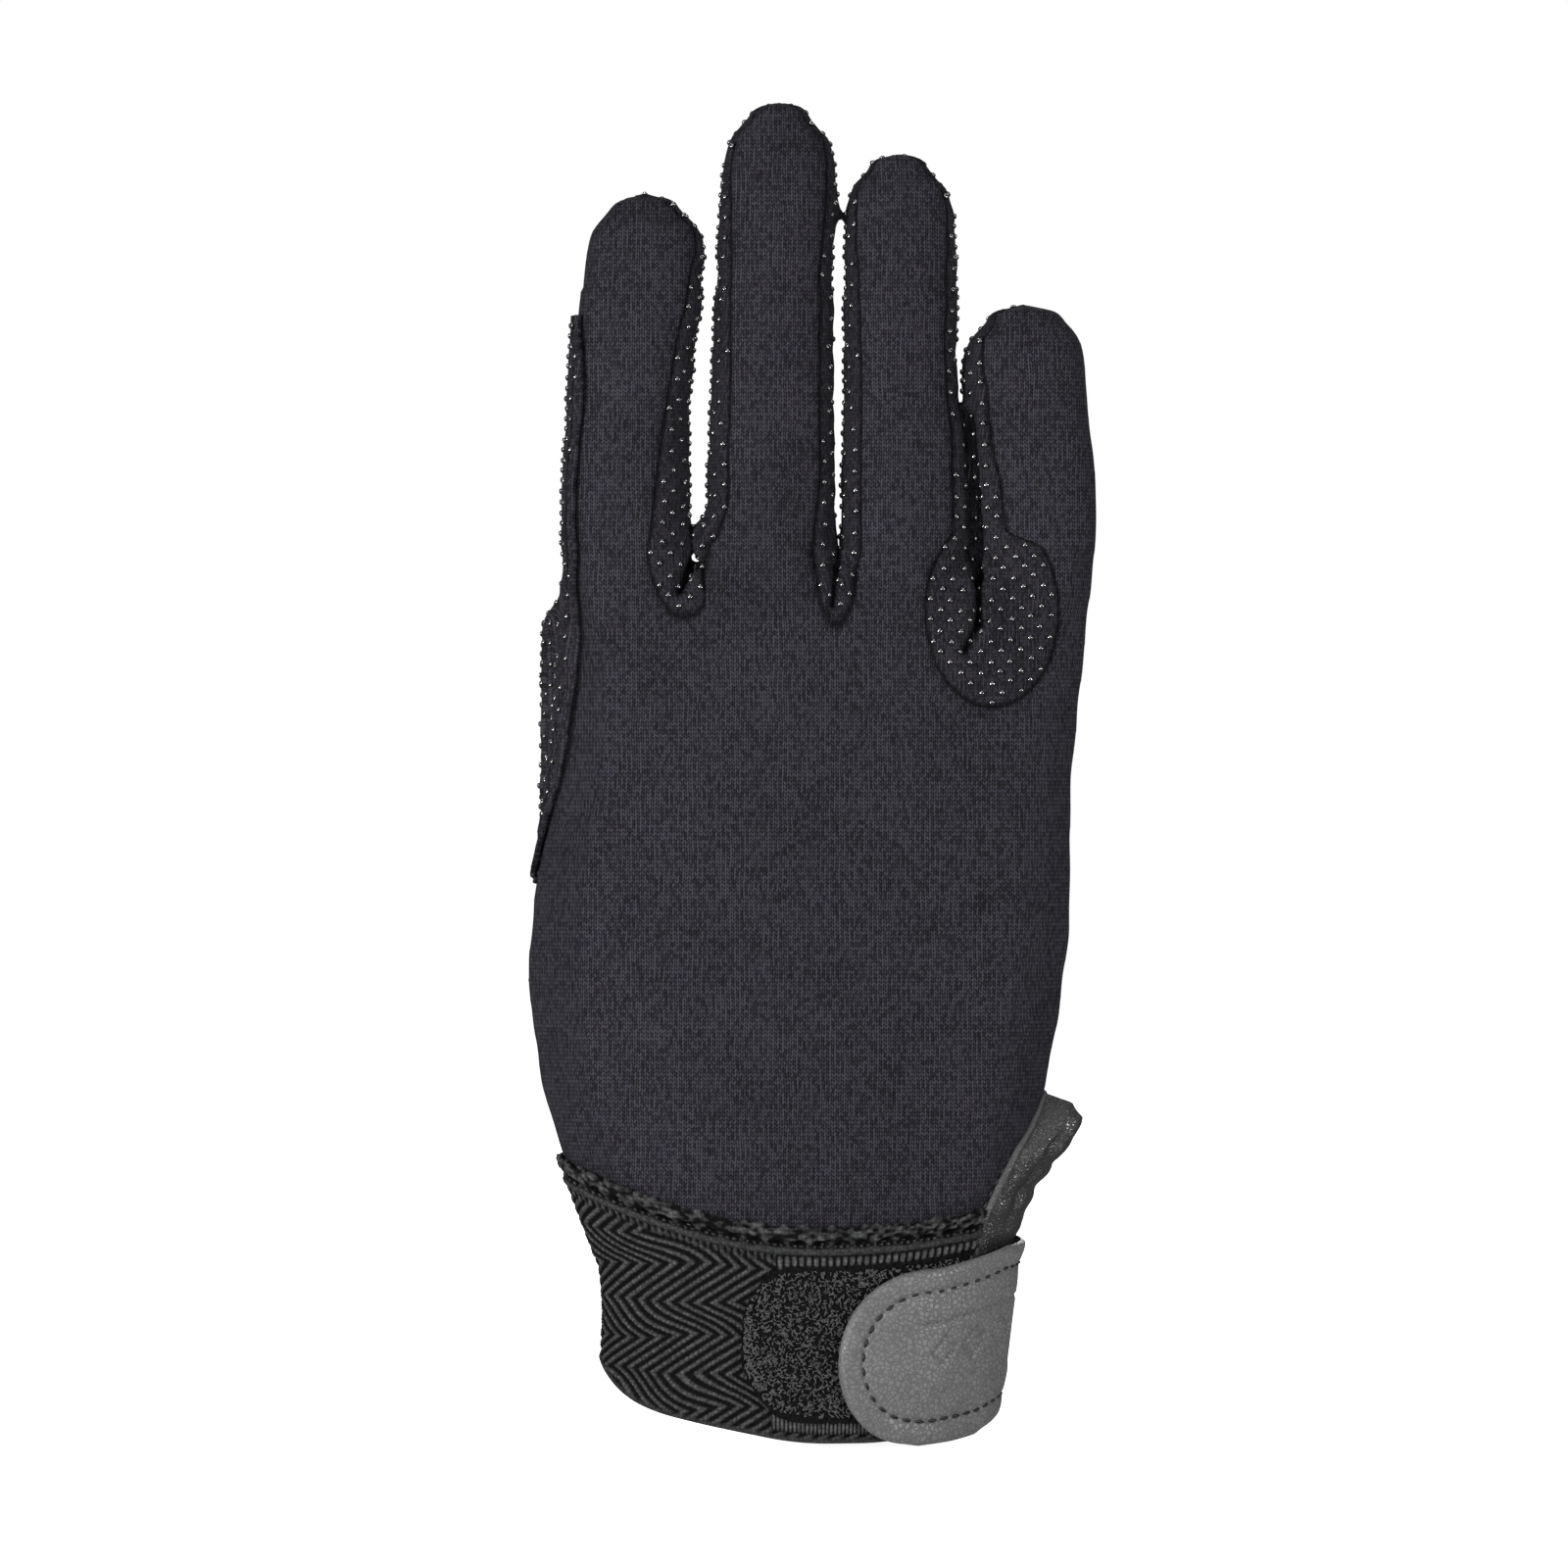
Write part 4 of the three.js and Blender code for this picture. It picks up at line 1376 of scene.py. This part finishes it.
SEAM_LOW, SEAM_HIGH = -2.6, 2.6  # the seam's folded cord and ruffled edge, from the jersey's lower edge
SEAM_UNDER = 1.4  # what is folded under, out of sight
STITCH = 3.4
SEAM_ROWS = 30


def blurred(values, rows):
    """Random values over a grid, run together with their neighbours."""
    grid = values.reshape(rows, -1)
    for _ in range(2):
        grid = (grid + np.roll(grid, 1, 0) + np.roll(grid, -1, 0)) / 3
        grid = (grid + np.roll(grid, 1, 1) + np.roll(grid, -1, 1)) / 3
    return np.clip(grid.ravel() / grid.std() / 1.5, -1, 1)


def seam_place(u, v):
    angle = CUFF_FROM + 0.8 + (CUFF_TO - CUFF_FROM - 1.6) * u
    off = SEAM_LOW + (SEAM_HIGH - SEAM_LOW) * v
    s = arc_of(angle)
    ruffle_field = blurred(RNG.standard_normal(len(u)), SEAM_ROWS)
    z = CUFF_TOP(angle) + off + 0.35 * smooth(off, 1.2, 2.6) * ruffle_field
    cord = 0.75 * np.sqrt(np.clip(1 - ((off + 1.65) / 0.9) ** 2, 0, 1))
    ruffle = (0.6 + 0.2 * ruffle_field) * smooth(off, -1.1, -0.3) * (1 - 0.5 * smooth(off, 2.1, 2.6))
    notch = 1.1 * ridge(off + 0.35, 0.5) * (0.5 + 0.5 * np.cos(2 * math.pi * s / STITCH)) ** 1.2
    gather = 0.14 * np.sin(2 * math.pi * s / STITCH + 1.3) * smooth(off, -0.5, 0.5)
    out = 1.0 + np.maximum(cord, ruffle) - notch + gather
    # painted shade: the rib value, which the elastic's material darkens by, is low where the cloth is low and
    # lowest in the stitch notches; the ruffle adds a random part
    rib = 0.2 + 0.45 * np.maximum(cord, ruffle) + 0.25 * ruffle_field * (off > 0) - 1.2 * notch
    return on_cuff(angle, z, out), np.stack([s, z], -1), np.clip(rib, 0, 1)


band = sheet_object("wrist_seam_ruffle", seam_place, int(620 * DENSE), SEAM_ROWS, 0.7)
finish_piece(band, ELASTIC, "hand", "wrist_seam_band")
declare_cloth(band, (SEAM_HIGH - SEAM_LOW + SEAM_UNDER) * MM, CUFF_LENGTH)
seam_path = on_cuff(edge_angles, CUFF_TOP(edge_angles) - 0.35, 0.55)
finish_piece(stitches("wrist_seam_stitches", seam_path, cuff_normal, STITCH, 1.9, 0.28), THREAD, "hand")

# the loop tape that the strap's hooks grip: its cut-cornered mat, two selvedges and the loops themselves
LOOP_FROM, LOOP_TO = 35.0, 104.0
LOOP_OUT = 1.5
LOOP_CUT = (0.025, 0.045)  # metres, as cut


def loop_corner(angle):
    """How far the loop tape's rounded end cuts in from its long edges."""
    t = np.clip((angle - (LOOP_TO - 15)) / 15, 0, 1)
    return 11 * (1 - np.sqrt(1 - t * t))


def loop_low(angle):
    return CUFF_FOOT(angle) + 3.2 + loop_corner(angle)


def loop_high(angle):
    return CUFF_TOP(angle) - 4.0 - loop_corner(angle)


def loop_place(u, v):
    angle = LOOP_FROM + (LOOP_TO - LOOP_FROM) * u
    z = loop_low(angle) + (loop_high(angle) - loop_low(angle)) * v
    s = arc_of(angle)
    rough = 0.12 * RNG.standard_normal(len(u))
    return on_cuff(angle, z, LOOP_OUT + 0.15 + rough), np.stack([s, z], -1)


def arch(width, height, radius=0.085, steps=5, around=4):
    """One loop of the pile: a small arch of thread."""
    points = []
    for k in range(steps):
        a = math.pi * k / (steps - 1)
        centre = np.array([width / 2 * math.cos(a), 0, height * math.sin(a)])
        outward_way = np.array([math.cos(a), 0, math.sin(a)])
        for i in range(around):
            b = 2 * math.pi * i / around
            points.append(centre + radius * (math.cos(b) * outward_way + math.sin(b) * np.array([0, 1, 0])))
    faces = grid_faces(around, steps, wrap=True)
    faces += [tuple(reversed(range(around))), tuple(range((steps - 1) * around, steps * around))]
    return np.array(points), faces


tape = sheet_object("loop_tape_mat", loop_place, 120, 60, 0.75)
finish_piece(tape, PILE, "hand", "loop_tape")
declare_cloth(tape, *LOOP_CUT)

LOOPS = 4200
angle = LOOP_FROM + (LOOP_TO - LOOP_FROM) * RNG.random(LOOPS)
share = 0.04 + 0.92 * RNG.random(LOOPS)
foot = on_cuff(angle, loop_low(angle) + (loop_high(angle) - loop_low(angle)) * share, LOOP_OUT + 0.05)
template, faces = arch(0.55, 0.42)
places = []
spins = RNG.random(LOOPS) * math.pi
tips = RNG.normal(0, 0.35, (LOOPS, 3))
for p, n, spin, tip in zip(foot, cuff_normal(foot), spins, tips):
    lean_and_side_light = n + tip * 0.6
    x, y, z = axes_on(lean_and_side_light)
    places.append((p, math.cos(spin) * x + math.sin(spin) * y, math.cos(spin) * y - math.sin(spin) * x, z))
finish_piece(copies("loop_tape_pile", template, faces, places), PILE_LOOPS, "hand")


SELVEDGE_OUT = 1.45


def selvedge_place(low, high, amplitude, pitch):
    """A corded edge of the loop tape, between two height functions."""
    def place(u, v):
        angle = LOOP_FROM + (LOOP_TO - 8 - LOOP_FROM) * u
        z = low(angle) + (high(angle) - low(angle)) * v
        s = arc_of(angle)
        rounding = np.sin(math.pi * np.clip(v, 0.02, 0.98)) ** 0.4
        cord = amplitude * np.abs(np.sin(math.pi * s / pitch)) * rounding
        return on_cuff(angle, z, SELVEDGE_OUT + cord), np.stack([s, z], -1), np.clip(cord / amplitude, 0, 1)
    return place


upper = selvedge_place(lambda a: loop_high(a) - 0.3, lambda a: CUFF_TOP(a) - 2.5, 0.4, 1.15)
lower = selvedge_place(lambda a: CUFF_FOOT(a) + 1.3, lambda a: loop_low(a) + 0.4, 0.16, 0.7)
for side, place in (("upper", upper), ("lower", lower)):
    strip = sheet_object("loop_tape_selvedge_" + side, place, int(260 * DENSE), 10, 0.5)
    finish_piece(strip, ELASTIC, "hand")

# ---------------------------------------------------------------- the strap

STRAP_TIP, STRAP_END = 77.5, -88.0
STRAP_MIDDLE = stations([[-95, 20], [-22, 20.5], [20, 19], [50, 15.4], [81, 14.8]])
STRAP_HALF = 15.0  # half its width
# how far its lower edge sags, by angle
STRAP_FLARE = stations([[-20, 0], [8, 1.0], [24, 2.3], [36, 1.7], [55, 0.2], [81, 0]])
STRAP_NOSE = 14.0  # how far back from the tip its rounded end reaches
STRAP_ROUND = 2.2  # the power of that rounding: 2 is an ellipse, more is squarer
STRAP_OUT = 3.85  # its outer face above the cuff
STRAP_LENGTH = hand.across(STRAP_END, 20.0) - hand.across(STRAP_TIP, 20.0)
STITCH_INSET = 4.0


def on_strap(back_from_tip, across, out):
    """A point on the strap: back_from_tip in millimetres, across from -1 at its lower edge to 1."""
    angle = hand.angle_at(hand.across(STRAP_TIP, 20.0) + back_from_tip, 20.0)
    sag = STRAP_FLARE(angle) * np.clip(-across, 0, 1)
    return on_cuff(angle, STRAP_MIDDLE(angle) + STRAP_HALF * across - sag, out)


def edge_inset(back, across):
    """How far inside the strap's outline a point is."""
    nose = np.clip((STRAP_NOSE - back) / STRAP_NOSE, 0, 1)
    r = (nose ** STRAP_ROUND + np.abs(across) ** STRAP_ROUND) ** (1 / STRAP_ROUND)
    return (1 - r) * STRAP_HALF


LINE_FROM, LINE_TO, LINE_ACROSS = 12.5, 34.0, 0.36  # a plain pressed line, back from the tip and across
LINE_END = 0.4  # how softly it ends
LOZENGES = (16.5, 21.5, 26.5)  # three plain lozenges under it, back from the tip


def pressed(back, across):
    """The plain pattern pressed into the strap, 0 to 1."""
    y = (across - LINE_ACROSS) * STRAP_HALF
    ends = smooth(back, LINE_FROM - LINE_END, LINE_FROM + LINE_END)
    ends = ends * smooth(-back, -LINE_TO - LINE_END, -LINE_TO)
    deep = ridge(y, 0.28) * ends
    for at in LOZENGES:
        q = np.abs(back - at) + 0.8 * np.abs(across * STRAP_HALF - 0.6) - 1.9
        deep = np.maximum(deep, ridge(q, 0.3))
    return deep


def strap_place(u, v):
    across = np.sin(math.pi * (v - 0.5))
    nose = STRAP_NOSE * (1 - (1 - np.abs(across) ** STRAP_ROUND) ** (1 / STRAP_ROUND))
    back = nose + (STRAP_LENGTH - nose) * u ** 1.15
    inset = edge_inset(back, across)
    roll = 1.1 * (1 - np.sqrt(np.clip(1 - (1 - np.clip(inset / 1.1, 0, 1)) ** 2, 0, 1)))
    groove = 0.34 * ridge(inset - STITCH_INSET, 0.4)
    plump = 0.28 * smooth(inset, STITCH_INSET, 8) + 0.12 * ridge(inset - 1.9, 0.8)
    wave = 0.18 * wobble(np.stack([back, across * STRAP_HALF, 0 * back], -1), 26, 0.9)
    out = STRAP_OUT - roll - groove + plump + wave - 0.5 * pressed(back, across)
    return on_strap(back, across, out), np.stack([back, across * STRAP_HALF], -1)


strap = sheet_object("wrist_strap", strap_place, int(250 * DENSE), int(96 * DENSE), 1.15)
finish_piece(strap, TAB_LEATHER, "strap", "strap_root", "strap_tab")
declare_cloth(strap, 2 * STRAP_HALF * MM, STRAP_LENGTH * MM)


def strap_stitch_path(far):
    """The stitch line: along the top, round the rounded end and back along the bottom."""
    r = 1 - STITCH_INSET / STRAP_HALF
    turn = np.radians(np.linspace(90, -90, 60))
    power = 2 / STRAP_ROUND
    across = r * np.sign(np.sin(turn)) * np.abs(np.sin(turn)) ** power
    back = STRAP_NOSE * (1 - r * np.abs(np.cos(turn)) ** power)
    straight = np.linspace(far, STRAP_NOSE, 40)[:-1]
    back = np.concatenate([straight, back, straight[::-1]])
    across = np.concatenate([np.full(39, r), across, np.full(39, -r)])
    return on_strap(back, across, STRAP_OUT - 0.2)


STRAP_STITCH = 2.5
HOOK_CUT = (0.023, 0.02)  # metres, as cut
strap_line = strap_stitch_path(STRAP_LENGTH - 5)
strap_thread = stitches("strap_stitches", strap_line, cuff_normal, STRAP_STITCH, 1.75, 0.3, lift=0.05)
finish_piece(strap_thread, THREAD, "strap")


def hook_place(u, v):
    back = 5.5 + 20 * u
    room = 1 - 3.6 / STRAP_HALF
    nose = np.clip((STRAP_NOSE - back) / STRAP_NOSE, 0, 1)
    half = np.maximum(room - 0.9 * nose ** 2, 0.2)
    return on_strap(back, (2 * v - 1) * half, 2.35), np.stack([back, (2 * v - 1) * half * STRAP_HALF], -1)


hooks_back = sheet_object("hook_tape_back", hook_place, 50, 50, 0.35)
finish_piece(hooks_back, HOOKS, "strap", "hook_tape")
declare_cloth(hooks_back, *HOOK_CUT)
grid_u, grid_v = np.meshgrid(np.linspace(0.03, 0.97, 17), np.linspace(0.03, 0.97, 20))
hook_feet = hook_place(grid_u.ravel(), grid_v.ravel())[0]
template, faces = arch(0.5, 0.5, 0.1, 4)
places = []
for p, n in zip(hook_feet, cuff_normal(hook_feet)):
    x, y, z = axes_on(-n)
    places.append((p - n * 0.3, x, y, z))
finish_piece(copies("hook_tape_hooks", template, faces, places), HOOKS, "strap")

# ---------------------------------------------------------------- the vent at the little finger's side

VENT_FRONT = stations([[28, 31.5], [38, 31.5], [40, 30], [44.5, 27], [50.5, 20], [57, 8], [60, 1]])
VENT_REAR = stations([[28, -33], [46, -33], [51.5, -20], [57, -8], [60, -1]])
VENT_TOP = 60.0
VENT_SWELL = stations([[28, 0.2], [34, 2.0], [40, 2.7], [44, 3.0], [49, 6.2], [53, 8.0], [56, 8.4],
                       [58.5, 6.0], [60, 1.2]])
FOLD_AT = 0.42  # where across the gusset its outermost fold runs
VENT_CUT = (0.024, 0.036)  # metres, as cut
FACING_CUT = (0.0105, 0.04)


def gusset_place(u, v):
    z = 28 + (VENT_TOP - 28) * v
    angle = VENT_FRONT(z) + (VENT_REAR(z) - VENT_FRONT(z)) * u
    arch_over = np.sin(math.pi * np.clip(u, 0, 1) ** (math.log(0.5) / math.log(FOLD_AT))) ** 0.75
    swell = VENT_SWELL(z) * arch_over
    puckers = 0.35 * wobble(np.stack([u * 26, z * 0.6 + u * 9, z], -1), 6.5, 1.2) * arch_over
    valley = 0.9 * ridge(u - 0.2, 0.05) * smooth(z, 34, 42) * smooth(-z, -57, -52)
    crease = 0.7 * ridge(z - 48.5 - 6 * (u - 0.4), 1.1) * smooth(u, 0.28, 0.45)
    side_tuck = 0.5 * ridge(z - 53.5 + 8 * (u - 0.4), 0.8) * smooth(u, 0.42, 0.55)
    out = swell + puckers - valley - crease - side_tuck - 0.3
    return hand.point(angle, z, out), np.stack([u * 30, z], -1)


gusset = sheet_object("vent_gusset_leather", gusset_place, int(90 * DENSE), int(120 * DENSE), 0.8)
finish_piece(gusset, VENT_LEATHER, "hand", "vent_gusset")
declare_cloth(gusset, *VENT_CUT, held="gathered")


def facing_place(front):
    """The leather that lines the vent on one side, from the cuff's foot up to the vent's edge."""
    def place(u, v):
        edge = VENT_FRONT(40) if front else VENT_REAR(40)
        inner = 4.0 if front else -3.0
        angle = edge + (inner - edge) * u
        top = 46 - 6 * (1 - u)
        z = 4 + (top - 4) * v
        return on_cuff(angle, z, -0.5), np.stack([u * 18, z], -1)
    return place


for front, node in ((True, "vent_facing_back"), (False, "vent_facing_palm")):
    facing = sheet_object(node + "_leather", facing_place(front), 40, 60, 0.8)
    finish_piece(facing, VENT_LEATHER, "hand", node)
    declare_cloth(facing, *FACING_CUT)

pipe_z = np.concatenate([np.linspace(29, VENT_TOP, 60), np.linspace(VENT_TOP, 46, 40)[1:]])
pipe_angle = np.concatenate([VENT_FRONT(pipe_z[:60]), VENT_REAR(pipe_z[60:])])
pipe_path = hand.point(pipe_angle, pipe_z, 0.45)
finish_piece(tube_object("vent_piping_cord", pipe_path, 0.7, 10), PIPING, "hand", "vent_piping")
pipe_stitch = hand.point(pipe_angle[:58] + 1.9, pipe_z[:58], 0.12)
finish_piece(stitches("vent_piping_stitches", pipe_stitch, cuff_normal, 2.3, 1.5, 0.22), THREAD, "hand")

# the thread that holds the patch's folded edge down
patch_edge = []
for z in np.linspace(PATCH_FOOT + 1, PATCH_TOP - 1, 90):
    p, n = index_side(patch_front(z) + 1.35, z)
    patch_edge.append(p + n * 0.95)


def patch_normal(p):
    return np.array([index_side(y, z)[1] for _, y, z in p])


patch_thread = stitches("index_patch_stitches", patch_edge, patch_normal, 2.2, 1.4, 0.17)
finish_piece(patch_thread, THREAD, "index_finger")

# ---------------------------------------------------------------- stage

CAMERA_AT = (-0.0041, -1.6, 0.1139)
LENS = 211.0


def area_light(name, at, aim, power, wide, tall):
    light = bpy.data.lights.new(name, "AREA")
    light.shape = "RECTANGLE"
    light.size, light.size_y, light.energy = wide, tall, power
    lamp = bpy.data.objects.new(name, light)
    lamp.location = at
    lamp.rotation_euler = (Vector(aim) - Vector(at)).to_track_quat("-Z", "Y").to_euler()
    bpy.context.scene.collection.objects.link(lamp)


def make_floor():
    mesh = bpy.data.meshes.new("floor")
    side = 4.0
    low = -0.0006
    corners = [(-side, -side, low), (side, -side, low), (side, side, low), (-side, side, low)]
    mesh.from_pydata(corners, [], [(0, 1, 2, 3)])
    floor = bpy.data.objects.new("floor", mesh)
    bpy.context.scene.collection.objects.link(floor)
    f = Finish("pale floor", 0.9, specular=0.1)
    f.colour(f.blend(f.noise(f.place(), 900.0), grey(0.9), grey(0.93)))
    f.set(f.shader, "Emission Color", (1, 1, 1, 1))
    f.set(f.shader, "Emission Strength", 0.95)
    floor.data.materials.append(f.material)
    floor.visible_glossy = False


def make_world():
    """White behind everything; a dimmer grey in what it lights and in reflections."""
    world = bpy.data.worlds.new("studio")
    bpy.context.scene.world = world
    world.use_nodes = True
    nodes, links = world.node_tree.nodes, world.node_tree.links
    shade = nodes.new("ShaderNodeMix")
    shade.data_type = "RGBA"
    shade.inputs[6].default_value = (0.12, 0.12, 0.123, 1)
    shade.inputs[7].default_value = (1, 1, 1, 1)
    links.new(nodes.new("ShaderNodeLightPath").outputs["Is Camera Ray"], shade.inputs[0])
    links.new(shade.outputs[2], nodes["Background"].inputs[0])


def make_camera():
    data = bpy.data.cameras.new("camera")
    data.lens = LENS
    data.sensor_width = 36
    data.clip_start, data.clip_end = 0.05, 20
    camera = bpy.data.objects.new("camera", data)
    camera.location = CAMERA_AT
    camera.rotation_euler = (math.radians(90), 0, 0)
    bpy.context.scene.collection.objects.link(camera)
    bpy.context.scene.camera = camera


make_floor()
make_world()
make_camera()
AIM = (0, 0, 0.11)
SOFTBOXES = [  # place, watts, width and height
    ("left", (-1.02, -0.85, 0.3), 20.0, 0.16, 0.2),
    ("right", (1.02, -0.85, 0.3), 8.0, 0.14, 0.18),
    ("front", (-0.25, -1.5, 0.9), 12.0, 1.4, 1.0),
    ("top", (0, -0.2, 1.4), 5.0, 1.0, 1.0),
    ("back", (0.1, 1.3, 0.7), 14.0, 1.0, 0.6),
]
for side, at, watts, wide, tall in SOFTBOXES:
    area_light(side + " softbox", at, AIM, watts, wide, tall)
bpy.context.scene.view_settings.view_transform = "Standard"
